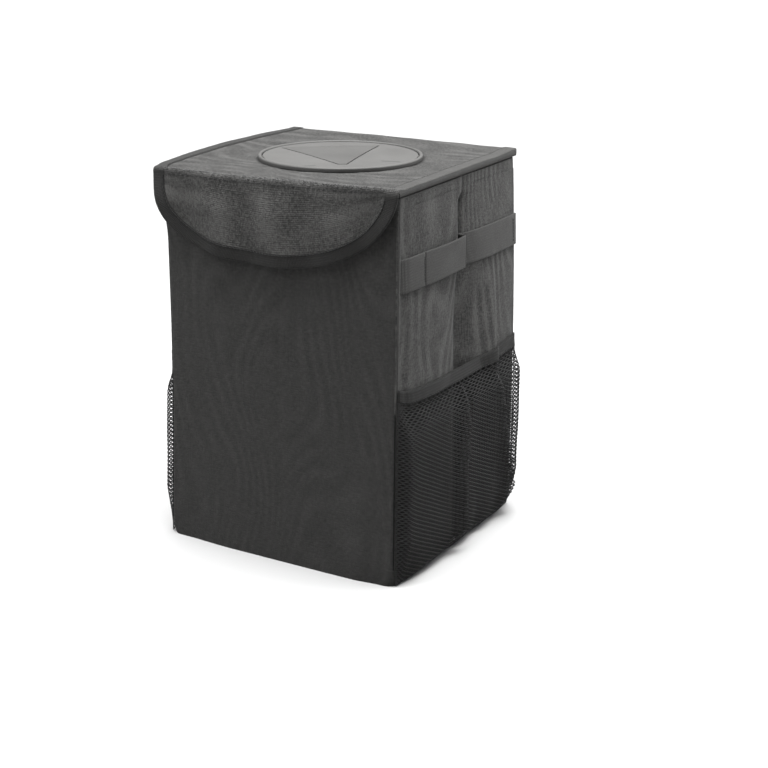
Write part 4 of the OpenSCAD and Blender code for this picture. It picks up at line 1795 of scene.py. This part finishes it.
@dataclass(frozen=True)
class LidForm:
    """Form of the lid's cloth and of the flap that hangs from it."""

    half: float = 101.0
    back: float = 94.3
    low: float = 288.0
    top: float = 291.7
    cover: float = 0.8
    board_front: float = -92.9
    tape: float = 0.5
    tape_w: float = 10.0
    port_r: float = 57.2
    bead_r: float = 61.5
    drop: float = 62.4
    square_left: float = 2.7
    square_right: float = 2.0
    flap_y: float = -96.2
    flap_t: float = 1.4
    fold_r: float = 2.6
    arch_left: float = 3.8
    arch_right: float = 0.7
    arch_back: float = 2.2

    @property
    def face(self) -> float:
        """y of the flap's outer face where it starts to hang."""
        return self.flap_y - self.flap_t

    @property
    def fold_start(self) -> float:
        """y where the cloth starts to turn down over the fold."""
        return self.face + self.fold_r

    def lift(self, x: Array, y: Array) -> Array:
        """How far the cover stands up off its board: arches along the left, back and right edges, and
        a slack of a tenth or two.

        Args:
            x: places across the lid.
            y: places from front to back.

        Returns:
            The distances upwards.
        """
        left = self.arch_left * climb(-x, 62, 100) * hump(held((y + 96) / 213)) ** 0.8
        right = self.arch_right * climb(x, 66, 100) * hump(held((y + 96) / 205)) ** 0.6
        back = self.arch_back * climb(y, 62, 92) * held(1 - ((x + 45) / 210) ** 2)
        slack = 0.12 * np.sin(x / 13.0) * np.sin(y / 17.0) + 0.1 * np.sin(x / 6.0 + y / 8.0)
        return np.maximum(left, back) + right + slack * climb(y, -92, -80)

    def droop(self, x: Array, y: Array) -> Array:
        """How far the cloth sinks at the front fold: down on the left half, up on the right."""
        share = 0.9 * climb(x, 30, -15) - 1.3 * climb(x, 30, 90)
        return share * climb(-y, 85, 95)

    def press(self, x: Array, y: Array) -> Array:
        """How far the cloth is pressed down round the port's bead: a bell with small ripples round it.

        Args:
            x: places across the lid.
            y: places from front to back.

        Returns:
            The depths.
        """
        off = np.hypot(x, y) - self.bead_r - 0.3
        ripple = 1 + 0.3 * np.sin(9 * np.arctan2(y, x)) * np.sin(31 * np.arctan2(y, x) + 1)
        return 0.45 * bell(off, 1.8) * ripple

    def cover_z(self, x: Array, y: Array) -> Array:
        """Height of the cover's upper face."""
        return self.top + self.lift(x, y) - self.droop(x, y) - self.press(x, y)

    def edge(self, angle: Array, inset: float = 0.0) -> tuple:
        """The flap's curved edge, as a squared ellipse: x = a sign(c) |c|^k, drop = b s^k, squarer on the left.

        Args:
            angle: from 0 at the right end to pi at the left end.
            inset: distance in from the edge.

        Returns:
            x, and how far below the lid's top.
        """
        c, s = np.cos(angle), np.sin(angle)
        k = 2 / np.where(c < 0, self.square_left, self.square_right)
        return (self.half - inset) * np.sign(c) * np.abs(c) ** k, (self.drop - inset) * np.maximum(s, 0) ** k

    def wave(self, x: Array, down: Array) -> Array:
        """How far the hanging cloth stands out: soft upright waves that grow downwards, a slight
        outward hang, and a faint level crease.

        Args:
            x: places across the flap.
            down: distances below the fold.

        Returns:
            The distances outwards.
        """
        share = climb(down, 0, 26)
        drift = 4.0 * np.sin(down / 16.0)
        waves = (
            -1.5 * np.cos(2 * np.pi * (x + 20 + drift) / 47.5) + 0.35 * np.sin(x / 9.0 - 0.5)
            + 0.15 * np.sin(x / 5.3 + down / 14.0)
        )
        crease = 0.25 * bell(down - 17, 1.2) * climb(x, -40, -15) * climb(x, 75, 60)
        return share * (waves + 1.9 + 0.4 * np.cos(x / 40.0)) - crease

    def hang(self, piece: Piece) -> None:
        """Bake a piece's transform into its mesh; the cloth, tape and hairs are built already shaped over the
        fold.

        Args:
            piece: the cloth, its tape or its hairs.
        """
        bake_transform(piece)

    def fold_path(self, x: Array, angle: Array) -> tuple:
        """The cloth's outer face over the fold, in y and height: a quarter circle from level to upright.

        Args:
            x: places along the fold.
            angle: angles round it, from 0 to a right angle.

        Returns:
            y and z, of the two arrays' joint shape.
        """
        y = self.fold_start - self.fold_r * np.sin(angle)
        z = self.cover_z(x, np.full_like(x, self.fold_start)) - self.fold_r * (1 - np.cos(angle))
        return y + 0 * x, z


@dataclass
class LidCloth:
    """The one piece of cloth that covers the lid, folds over its front edge and hangs down as the flap."""

    form: LidForm
    finishes: Finishes
    columns: int = 181
    start: float = -91.3
    inset: float = 0.4

    def plan(self, share: Array) -> Array:
        """Plan points between the port's hole and the lid's edge.

        The edge is a rectangle, counter-clockwise from the left end of the fold. Each
        of its points joins the hole's nearest point on the same ray by a straight line,
        shared out by the shares.

        Args:
            share: shares from 0 at the hole to 1 at the edge.

        Returns:
            Rings by points by 2. The first columns of a ring lie along the front.
        """
        half, y0, y1 = self.form.half - self.inset, self.start, self.form.back
        front = np.stack([np.linspace(-half, half, self.columns), np.full(self.columns, y0)], -1)
        right = np.stack([np.full(88, half), np.linspace(y0, y1, 90)[1:-1]], -1)
        back = np.stack([np.linspace(half, -half, 100), np.full(100, y1)], -1)
        left = np.stack([np.full(88, -half), np.linspace(y1, y0, 90)[1:-1]], -1)
        edge = np.concatenate([front, right, back, left])
        hole = unit(edge) * self.form.port_r
        return hole + (edge - hole) * share[:, None, None]

    def flap(self) -> Array:
        """The cloth's outer face from the start, over the fold and down to the curved edge.

        Columns follow the edge's angle. The rows below the fold share out the way from
        the fold to the edge, and the cloth's waves stand out from the front.

        Returns:
            Rows by columns by 3, of which the first is the front edge of the lid's part.
        """
        form = self.form
        angle = np.linspace(np.pi, 0, self.columns)
        edge_x, down = form.edge(angle, self.inset)
        x = np.linspace(-1, 1, self.columns) * (form.half - self.inset)
        lead = np.linspace(self.start, form.fold_start, 5)[:-1]
        rows = [np.stack([x, np.full_like(x, y), form.cover_z(x, np.full_like(x, y))], -1) for y in lead]
        y, z = form.fold_path(x[None, :], np.linspace(0, np.pi / 2, 11)[:, None])
        rows += [np.stack([x, y[i], z[i]], -1) for i in range(len(y))]
        base = z[-1]
        end = np.minimum(form.top - down, base - 0.2)
        for share in even(34)[1:]:
            across = x + (edge_x - x) * smooth_step(np.array(share)) ** 0.9
            height = base + (end - base) * share
            rows.append(np.stack([across, form.face - form.wave(across, base - height), height], -1))
        return np.stack(rows)

    def cloth(self) -> Piece:
        """Join the lid's rings and the flap's rows into one closed sheet.

        The outer points are the rings and then the flap's rows, whose first row is the
        rings' own front edge. The inner points are one thickness in. Rims run round the
        hole and round the whole outline.

        Returns:
            The piece.
        """
        form = self.form
        plan = self.plan(even(36))
        high = form.cover_z(plan[..., 0], plan[..., 1])
        floor = np.where(plan[..., 1] > form.board_front, form.top - form.cover, high - form.cover)
        low = np.minimum(np.maximum(high - form.cover, floor), high - 0.15)
        lid = [np.concatenate([plan, h[..., None]], -1) for h in (high, low)]
        outer = self.flap()
        normal = unit(np.cross(np.gradient(outer, axis=1), np.gradient(outer, axis=0)), 1e-9)
        normal *= -np.sign(normal[25, self.columns // 2, 1])
        thick = np.interp(np.arange(len(outer)), [0, 4, 14, 18], [0.6, 0.8, 1.2, form.flap_t])
        inner = outer - normal * thick[:, None, None]
        rows, cols = plan.shape[:2]
        ring = np.arange(rows * cols).reshape(rows, cols)
        hang = np.arange((len(outer) - 1) * self.columns).reshape(-1, self.columns) + rows * cols
        hang = np.concatenate([ring[-1:, : self.columns], hang])
        quads = np.concatenate(
            [
                ring_quads(rows, cols, True),
                np.stack([hang[:-1, :-1], hang[:-1, 1:], hang[1:, 1:], hang[1:, :-1]], -1).reshape(-1, 4)
            ]
        )
        count = hang[-1, -1] + 1
        around = np.concatenate([ring[-1, self.columns - 1:], hang[:, 0], hang[-1, 1:], hang[-2::-1, -1]])
        hole = np.append(ring[0], ring[0, 0])[::-1]
        rims = [np.stack([e[:-1], e[1:], e[1:] + count, e[:-1] + count], -1) for e in (around, hole)]
        points = np.concatenate(
            [lid[0].reshape(-1, 3), outer[1:].reshape(-1, 3), lid[1].reshape(-1, 3), inner[1:].reshape(-1, 3)]
        )
        run = np.concatenate([[0.0], np.cumsum(np.linalg.norm(np.diff(outer, axis=0), axis=-1).mean(1))])
        down = np.stack([outer[..., 0], np.broadcast_to((self.start - run)[:, None], outer.shape[:2])], -1)
        flat = np.concatenate([plan.reshape(-1, 2), down[1:].reshape(-1, 2)])
        shape = Shape(points, [quads, quads[:, ::-1] + count] + rims, np.concatenate([flat, flat]))
        piece = mesh_piece("lid_and_flap_cloth", shape, self.finishes.lid, 60.0)
        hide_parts("lid_cover", "front_flap")
        form.hang(piece)
        return piece

    def fringe(self) -> Piece:
        """Short frayed hairs of yarn along the fold's crest: each one a thin tube that leans out at
        its own angle.

        Returns:
            The piece.
        """
        rng = np.random.default_rng(7)
        count = 620
        x = np.sort(rng.uniform(-96, 99, count))
        angle = rng.uniform(0.1, 1.0, count)
        y, z = self.form.fold_path(x, angle)
        root = np.stack([x, y, z], -1)
        lean = unit(np.stack([rng.normal(0, 0.5, count), -np.sin(angle), np.cos(angle)], -1))
        t = np.linspace(-0.2, 1, 4)[None, :, None]
        long = rng.uniform(0.35, 1.15, count)[:, None, None]
        paths = root[:, None, :] + lean[:, None, :] * t * long + np.array([0.0, -0.25, 0.1]) * t**2 * long
        up = spread([1.0, 0.2, 0.1], paths)
        piece = mesh_piece("fold_fringe", tubes_shape(paths, 0.17, 3, up), self.finishes.frayed)
        self.form.hang(piece)
        return piece

    def crease(self) -> Piece:
        """A row of dark stitches just below the fold, on the flap.

        Returns:
            The piece.
        """
        x = np.linspace(-89, 90, 400)
        base = self.form.fold_path(x, np.full_like(x, np.pi / 2))[1]
        down = 0.9 + 0.25 * np.sin(x / 7.0)
        line = np.stack([x, self.form.face - self.form.wave(x, down), base - down], -1)
        out = spread([0.0, -1.0, 0.0], line)
        piece = mesh_piece(
            "fold_stitches", stitches_shape(line, out, 4.1, 3.0, 0.3), self.finishes.thread
        )
        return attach(piece, Body.FLAP.value)

    def build(self) -> None:
        """Make the cloth, its frayed fold and the stitches below it."""
        report(self.cloth(), self.fringe(), self.crease())


@dataclass
class LidTape:
    """The one length of tape that binds the lid's right edge, the flap's curved edge and the lid's left edge.

    Its section is a U. Each corner of it is an inset from the edge, a share of the way
    through what it binds, and a distance out of that face.
    """

    form: LidForm
    finishes: Finishes
    section: tuple = (
        (10, 0, 0.2), (9.75, 0, 0.5), (1.4, 0, 0.5), (0.6, 0, 0.38), (0.15, 0, 0.05), (0, 0.25, 0),
        (0, 0.75, 0), (0.3, 1, 0.1), (1.0, 1, 0.4), (10, 1, 0.4), (10, 1, 0), (1.1, 1, 0),
        (0.5, 0.75, 0), (0.5, 0.25, 0), (1.3, 0, 0), (10, 0, 0),
    )
    first_down: float = 3.4

    def lid_part(self, side: Side, inset: float) -> tuple:
        """Outer face, outward direction and thickness at the lid's side edge and fold, from back to front.

        Args:
            side: which side.
            inset: distance in from the edge.

        Returns:
            Points, directions and thicknesses.
        """
        form = self.form
        y = np.linspace(form.back + 0.8, form.fold_start, 80)
        x = np.full_like(y, side.value * (form.half - inset))
        level = np.stack([x, y, form.cover_z(x, y)], -1)
        turn = np.linspace(0, np.pi / 2, 12)[1:]
        at = np.full_like(turn, side.value * (form.half - inset))
        over = np.stack([at, *form.fold_path(at, turn)], -1)
        out = np.concatenate(
            [np.tile([0.0, 0.0, 1.0], (len(y), 1)), np.stack([0 * turn, -np.sin(turn), np.cos(turn)], -1)]
        )
        full = level[:, 2] - form.low
        share = np.sin(turn)
        thick = np.concatenate([full, full[-1] * (1 - share) + form.flap_t * share])
        return np.concatenate([level, over]), out, thick

    def flap_part(self, inset: float, count: int = 300) -> tuple:
        """Outer face, outward direction and thickness along the flap's curved edge, from right to left.

        Args:
            inset: distance in from the edge.
            count: number of places.

        Returns:
            Points, directions and thicknesses.
        """
        form = self.form
        share = self.first_down / form.drop
        first = math.asin(share ** (form.square_right / 2))
        last = math.pi - math.asin(share ** (form.square_left / 2))
        t = even(count)
        angle = first + (last - first) * t
        x, down = form.edge(angle, inset)
        points = np.stack([x, form.face - form.wave(x, down - form.fold_r), form.top - down], -1)
        return points, np.tile([0.0, -1.0, 0.0], (count, 1)), np.full(count, form.flap_t)

    def line(self, inset: float, share: float, proud: float) -> Array:
        """One corner of the section, along the whole tape.

        Args:
            inset: distance in from the edge.
            share: share of the way through.
            proud: distance out of that face.

        Returns:
            Points from the lid's right back corner to its left back corner.
        """
        right, flap, left = (
            self.lid_part(Side.RIGHT, inset), self.flap_part(inset), self.lid_part(Side.LEFT, inset)
        )
        face, out, thick = (np.concatenate([a, b, c[::-1]]) for a, b, c in zip(right, flap, left))
        away = proud if share < 0.5 else -proud
        return face - out * (thick * share)[:, None] + out * away

    def tape(self) -> Piece:
        """The tape as a loft of its section.

        Returns:
            The piece.
        """
        sections = np.stack([self.line(*corner) for corner in self.section], 1)
        run = distances(sections[:, 2])
        around = np.array([0, 0.3, 8.6, 9.4, 10, 12, 14, 15, 16, 25, 26, 34, 36, 38, 40, 50.0])
        piece = mesh_piece("lid_and_flap_tape", loft_shape(sections, run, around), self.finishes.tape)
        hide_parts("lid_binding", "flap_binding")
        self.form.hang(piece)
        return piece

    def seams(self) -> list:
        """The rows of stitches near the tape's inner edge: one piece for both sides of the lid, one
        for the flap.

        Returns:
            Both pieces.
        """
        proud = self.form.tape
        inset = self.form.tape_w - 0.9
        rows = []
        for side in Side:
            points, out, _ = self.lid_part(side, inset)
            thread = 0.25 if side is Side.LEFT else 0.13
            rows.append(stitches_shape(points[:80] + out[:80] * proud, out[:80], 2.9, 2.3, thread))
        lid = mesh_piece("lid_tape_stitches", all_joined(rows), self.finishes.thread)
        points, out, _ = self.flap_part(inset, 900)
        flap = mesh_piece(
            "flap_tape_stitches", stitches_shape(points + out * proud, out, 2.8, 2.4, 0.3),
            self.finishes.thread
        )
        return [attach(lid, Body.LID.value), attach(flap, Body.FLAP.value)]

    def build(self) -> None:
        """Make the tape and its seams."""
        report(self.tape(), *self.seams())


@dataclass
class LidLining:
    """The lid's lower cloth."""

    form: LidForm
    finishes: Finishes
    cloth: LidCloth

    def build(self) -> None:
        """Make the lining: flat rings from the port's hole to the lid's edge, one cloth thick."""
        form = self.form
        plan = self.cloth.plan(even(12))
        low = np.full(plan.shape[:2] + (1,), form.low)
        shape = sheet_shape(
            np.concatenate([plan, low + 0.7], -1), np.concatenate([plan, low], -1), plan, closed=True
        )
        piece = mesh_piece("lid_lining_cloth", shape, self.finishes.lining)
        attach(piece, Body.LID.value)
        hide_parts("lid_lining")
        report(piece)


@dataclass
class Port:
    """The rubber port and its push-in tongue, whose CAD solids keep their shape."""

    top: float = 293.9
    # Ends of the two creases, which the rubber shows as dips with painted shade along them.
    marks: tuple = ((1.5, -56.0, 7.5, -50.5), (41.4, -10.2, 52.6, -6.1))

    def build(self) -> None:
        """Dress both solids in rubber."""
        disc = Rubber("port_rubber_matt", 0.059, self.top, self.marks).material()
        tongue = Rubber("tongue_rubber_matt", 0.05, self.top).material()
        for node, finish in (("port", disc), ("push_flap", tongue)):
            dress(node, finish)


@dataclass
class BackStrap:
    """The strap across the back and its buckle."""

    finishes: Finishes
    wide: float = 25.0
    thick: float = 1.5
    z: float = 232.0
    back: float = 94.0
    half: float = 86.0
    sewn: float = 24.0
    bar: float = 3.0
    bar_low: float = 3.5
    play: float = 0.2
    socket_bar: float = 32.5
    plug_bar: float = 16.5

    def path(self, bar_x: float) -> Array:
        """The strap's middle line, in x and distance behind the cloth.

        It is flat where it is sewn, then runs out to the bar, round it and back.

        Args:
            bar_x: outer face of the buckle's bar.

        Returns:
            Points by 2.
        """
        t = self.thick / 2
        lower = self.bar_low - self.play - t
        upper = self.bar_low + self.bar + self.play + t
        turn = bar_x - self.bar - self.play - t
        sewn = np.column_stack([np.linspace(self.half, self.half - self.sewn, 12), np.full(12, t + 0.1)])
        s = even(20)[1:]
        lift = np.column_stack(
            [
                self.half - self.sewn + (bar_x + 14 - self.half + self.sewn) * s,
                t + 0.1 + (lower - t - 0.1) * smooth_step(s)
            ]
        )
        flat = np.column_stack([np.linspace(bar_x + 14, turn + t, 8)[1:], np.full(7, lower)])
        r = (upper - lower) / 2
        a = np.linspace(-np.pi / 2, -3 * np.pi / 2, 12)[1:]
        loop = np.column_stack([turn + t + 0.55 * r * np.cos(a), lower + r + r * np.sin(a)])
        s = even(16)[1:]
        tail = np.column_stack(
            [
                turn + t + (bar_x + 18 - turn - t) * s,
                upper + (lower + self.thick - upper) * smooth_step(s * 1.15)
            ]
        )
        return np.concatenate([sewn, lift, flat, loop, tail])

    def strap(self, side: Side, bar_x: float) -> Piece:
        """One strap half as a loft along its path, in a flat section with rounded edges.

        Args:
            side: which half.
            bar_x: outer face of the buckle's bar.

        Returns:
            The piece.
        """
        path = self.path(bar_x)
        along = unit(np.gradient(path, axis=0))
        normal = np.stack([-along[:, 1], along[:, 0]], -1)
        rows = np.array([0, 0.02, 0.06, 0.3, 0.5, 0.7, 0.94, 0.98, 1.0])
        half = np.array([0.25, 0.75, 1, 1, 1, 1, 1, 0.75, 0.25]) * self.thick / 2 * 0.96
        height = self.z + (rows - 0.5) * self.wide
        parts = []
        for sign in (1, -1):
            flat = path[:, None, :] + sign * normal[:, None, :] * half[None, :, None]
            parts.append(
                np.stack(
                    [
                        side.value * flat[..., 0], self.back + flat[..., 1],
                        np.broadcast_to(height, flat.shape[:2])
                    ],
                    -1
                )
            )
        sections = np.concatenate([parts[0], parts[1][:, ::-1]], 1)
        run = distances(path)
        around = np.concatenate([rows * self.wide, (1 + rows) * self.wide])
        node = "strap_" + side.word
        piece = mesh_piece(node + "_webbing", loft_shape(sections, run, around), self.finishes.strap)
        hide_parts(node)
        if side is Side.LEFT:
            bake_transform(piece)
        else:
            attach(piece, Body.BIN.value)
        return piece

    def seams(self) -> Piece:
        """A box of stitches with a cross in it on each sewn end.

        Returns:
            The piece.
        """
        rows = []
        y = self.back + self.thick + 0.1
        for side in Side:
            x0, x1 = self.half - 2.0, self.half - self.sewn + 2.0
            z0, z1 = self.z - self.wide / 2 + 2.0, self.z + self.wide / 2 - 2.0
            corners = [(x0, z0), (x1, z0), (x1, z1), (x0, z1), (x0, z0), (x1, z1)]
            for (ax, az), (bx, bz) in list(zip(corners[:-1], corners[1:])) + [((x0, z1), (x1, z0))]:
                s = even(20)
                line = np.column_stack([side.value * (ax + (bx - ax) * s), np.full(20, y), az + (bz - az) * s])
                out = spread([0.0, 1.0, 0.0], line)
                rows.append(stitches_shape(line, out, 2.8, 2.1, 0.25))
        piece = mesh_piece("strap_stitches", all_joined(rows), self.finishes.thread)
        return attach(piece, Body.BIN.value)

    def build(self) -> None:
        """Make both strap halves and their seams, and dress the buckle."""
        report(self.strap(Side.RIGHT, self.socket_bar), self.strap(Side.LEFT, self.plug_bar), self.seams())
        for node in ("buckle_socket", "buckle_plug"):
            dress(node, self.finishes.plastic)


@dataclass
class Patches:
    """The two hook-and-loop patches between the flap and the front."""

    form: LidForm
    finishes: Finishes
    wide: float = 70.0
    high: float = 16.0
    low: float = 242.3
    thick: float = 0.95
    front_face: float = -94.3
    flap_face: float = -96.2

    def patch(self, name: str, node: str, body: Body, face: float) -> Piece:
        """A patch with rounded corners and an uneven nap on its free face.

        Args:
            name: the piece's name.
            node: the CAD node that it stands for.
            body: the body that it rides on.
            face: y of its back, on what it is sewn to.

        Returns:
            The piece.
        """
        sign = -1.0 if body is Body.BIN else 1.0
        u = np.linspace(-1, 1, 90)[None, :] * np.ones((24, 1))
        v = np.linspace(-1, 1, 24)[:, None] * np.ones((1, 90))
        x = u * self.wide / 2 * (1 - 0.004 * v**8)
        z = self.low + self.high / 2 + v * self.high / 2 * (1 - 0.05 * u**30)
        edge = np.minimum(1.0, np.minimum(1 - np.abs(u), (1 - np.abs(v)) * 0.25) * 40)
        nap = 0.06 * np.sin(x * 3.1) * np.sin(z * 3.7)
        out = self.thick * (0.35 + 0.65 * smooth_step(edge)) + nap * edge - 0.06
        back = face if body is Body.BIN else face - self.form.wave(x, self.form.top - self.form.fold_r - z)
        outer = np.stack([x, back + sign * out, z], -1)
        inner = np.stack([x, back + 0 * x, z], -1)
        piece = mesh_piece(name, sheet_shape(outer, inner, np.stack([x, z], -1)), self.finishes.pile)
        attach(piece, body.value)
        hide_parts(node)
        return piece

    def build(self) -> None:
        """Make both patches."""
        report(self.patch("loop_pile_patch", "loop_patch", Body.BIN, self.front_face))
        report(self.patch("hook_pile_patch", "hook_patch", Body.FLAP, self.flap_face))


def dress(node: str, finish: Finish) -> None:
    """Give a CAD node its finish.

    Args:
        node: the node's name.
        finish: its material.
    """
    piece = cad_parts[node]
    piece.data.materials.clear()
    piece.data.materials.append(finish)
    report(piece)


@dataclass
class Studio:
    """Floor, lights and the camera at the photograph's angle."""

    eye: tuple = (560.7, -961.5, 486.0)
    yaw: float = -30.257
    pitch: float = -18.937
    lens: float = 69.94
    shift: tuple = (0.0569, 0.014)
    sensor: float = 36.0
    floor_half: float = 40.0
    dim: float = 0.06
    walls: float = 1.05
    skyline: tuple = (0.19, 0.24)
    sun: tuple = ((0.02, -0.02, 1.0), 12.5, 38.0)
    box_wide: float = 0.5
    boxes: tuple = (
        ("softbox_back", (0.45, 0.3, 0.7), (0.1, 0.02, 0.2), 8.0),
        ("softbox_front", (-0.35, -0.5, 0.8), (0.0, -0.09, 0.22), 7.6),
    )

    def floor(self) -> None:
        """A wide sheet of pale paper under the bin."""
        corners = [
            (x * self.floor_half, y * self.floor_half, 0) for x, y in ((-1, -1), (1, -1), (1, 1), (-1, 1))
        ]
        mesh = bpy.data.meshes.new("floor")
        mesh.from_pydata(corners, [], [(0, 1, 2, 3)])
        floor = bpy.data.objects.new("floor", mesh)
        mesh.materials.append(Backdrop("floor_paper", 0.275).material())
        bpy.context.scene.collection.objects.link(floor)

    def overhead(self, towards: Sequence[float], strength: float, wide: float) -> None:
        """A very wide, soft light from one direction.

        Args:
            towards: direction from the bin to the light.
            strength: light on a face turned to it.
            wide: angle that it spans, in degrees.
        """
        lamp = bpy.data.lights.new("overhead", "SUN")
        lamp.energy, lamp.angle = strength, math.radians(wide)
        holder = bpy.data.objects.new("overhead", lamp)
        holder.location = (0.0, 0.0, 2.0)
        holder.rotation_euler = (-Vector(towards)).to_track_quat("-Z", "Y").to_euler()
        bpy.context.scene.collection.objects.link(holder)

    def softbox(self, name: str, at: Sequence[float], aim: Sequence[float], power: float) -> None:
        """A square softbox half a metre wide.

        Args:
            name: its name.
            at: its place in metres.
            aim: the point it faces.
            power: its power in watts.
        """
        lamp = bpy.data.lights.new(name, "AREA")
        lamp.energy, lamp.size = power, self.box_wide
        holder = bpy.data.objects.new(name, lamp)
        holder.location = at
        holder.rotation_euler = (Vector(aim) - Vector(at)).to_track_quat("-Z", "Y").to_euler()
        bpy.context.scene.collection.objects.link(holder)

    def world(self) -> None:
        """A dim surrounding light with white walls round the studio: white up to about 11 degrees over
        the skyline.
        """
        world = bpy.data.worlds.new("studio")
        world.use_nodes = True
        nodes, links = world.node_tree.nodes, world.node_tree.links
        parts, ramp = nodes.new("ShaderNodeSeparateXYZ"), nodes.new("ShaderNodeMapRange")
        links.new(nodes.new("ShaderNodeTexCoord").outputs["Generated"], parts.inputs[0])
        ends = (*self.skyline, self.walls, self.dim)
        for name, number in zip(("From Min", "From Max", "To Min", "To Max"), ends):
            ramp.inputs[name].default_value = number
        links.new(parts.outputs[2], ramp.inputs["Value"])
        links.new(ramp.outputs[0], nodes["Background"].inputs[1])
        nodes["Background"].inputs[0].default_value = (1, 1, 1, 1)
        bpy.context.scene.world = world

    def camera(self) -> None:
        """The camera where the photograph was taken from."""
        data = bpy.data.cameras.new("camera")
        data.lens, data.sensor_width = self.lens, self.sensor
        data.shift_x, data.shift_y = self.shift
        camera = bpy.data.objects.new("camera", data)
        yaw, pitch = math.radians(self.yaw), math.radians(self.pitch)
        ahead = Vector((math.sin(yaw) * math.cos(pitch), math.cos(yaw) * math.cos(pitch), math.sin(pitch)))
        camera.location = [c * MM for c in self.eye]
        camera.rotation_euler = ahead.to_track_quat("-Z", "Y").to_euler()
        bpy.context.scene.collection.objects.link(camera)
        bpy.context.scene.camera = camera

    def build(self) -> None:
        """Set up the studio."""
        self.camera()
        self.floor()
        self.world()
        self.overhead(*self.sun)
        for box in self.boxes:
            self.softbox(*box)
        bpy.context.scene.view_settings.view_transform = "Standard"


def keep_sizes() -> None:
    bpy.context.view_layer.update()


def main() -> None:
    """Build every sub-assembly in order."""
    logging.basicConfig(level=logging.INFO, format="%(message)s")
    finishes = Finishes()
    form = BinForm()
    walls = Walls(form, finishes)
    walls.build()
    Interior(form, walls, finishes).build()
    for side in Side:
        SideBand(form, finishes, side).build()
        NetPocket(form, finishes, side).build()
    lid = LidForm()
    cloth = LidCloth(lid, finishes)
    cloth.build()
    LidTape(lid, finishes).build()
    LidLining(lid, finishes, cloth).build()
    Port().build()
    Patches(lid, finishes).build()
    BackStrap(finishes).build()
    for node in ("front_board", "back_board", "base_board", "lid_board"):
        dress(node, finishes.board)
    Studio().build()
    keep_sizes()


if __name__ == "__main__":
    main()
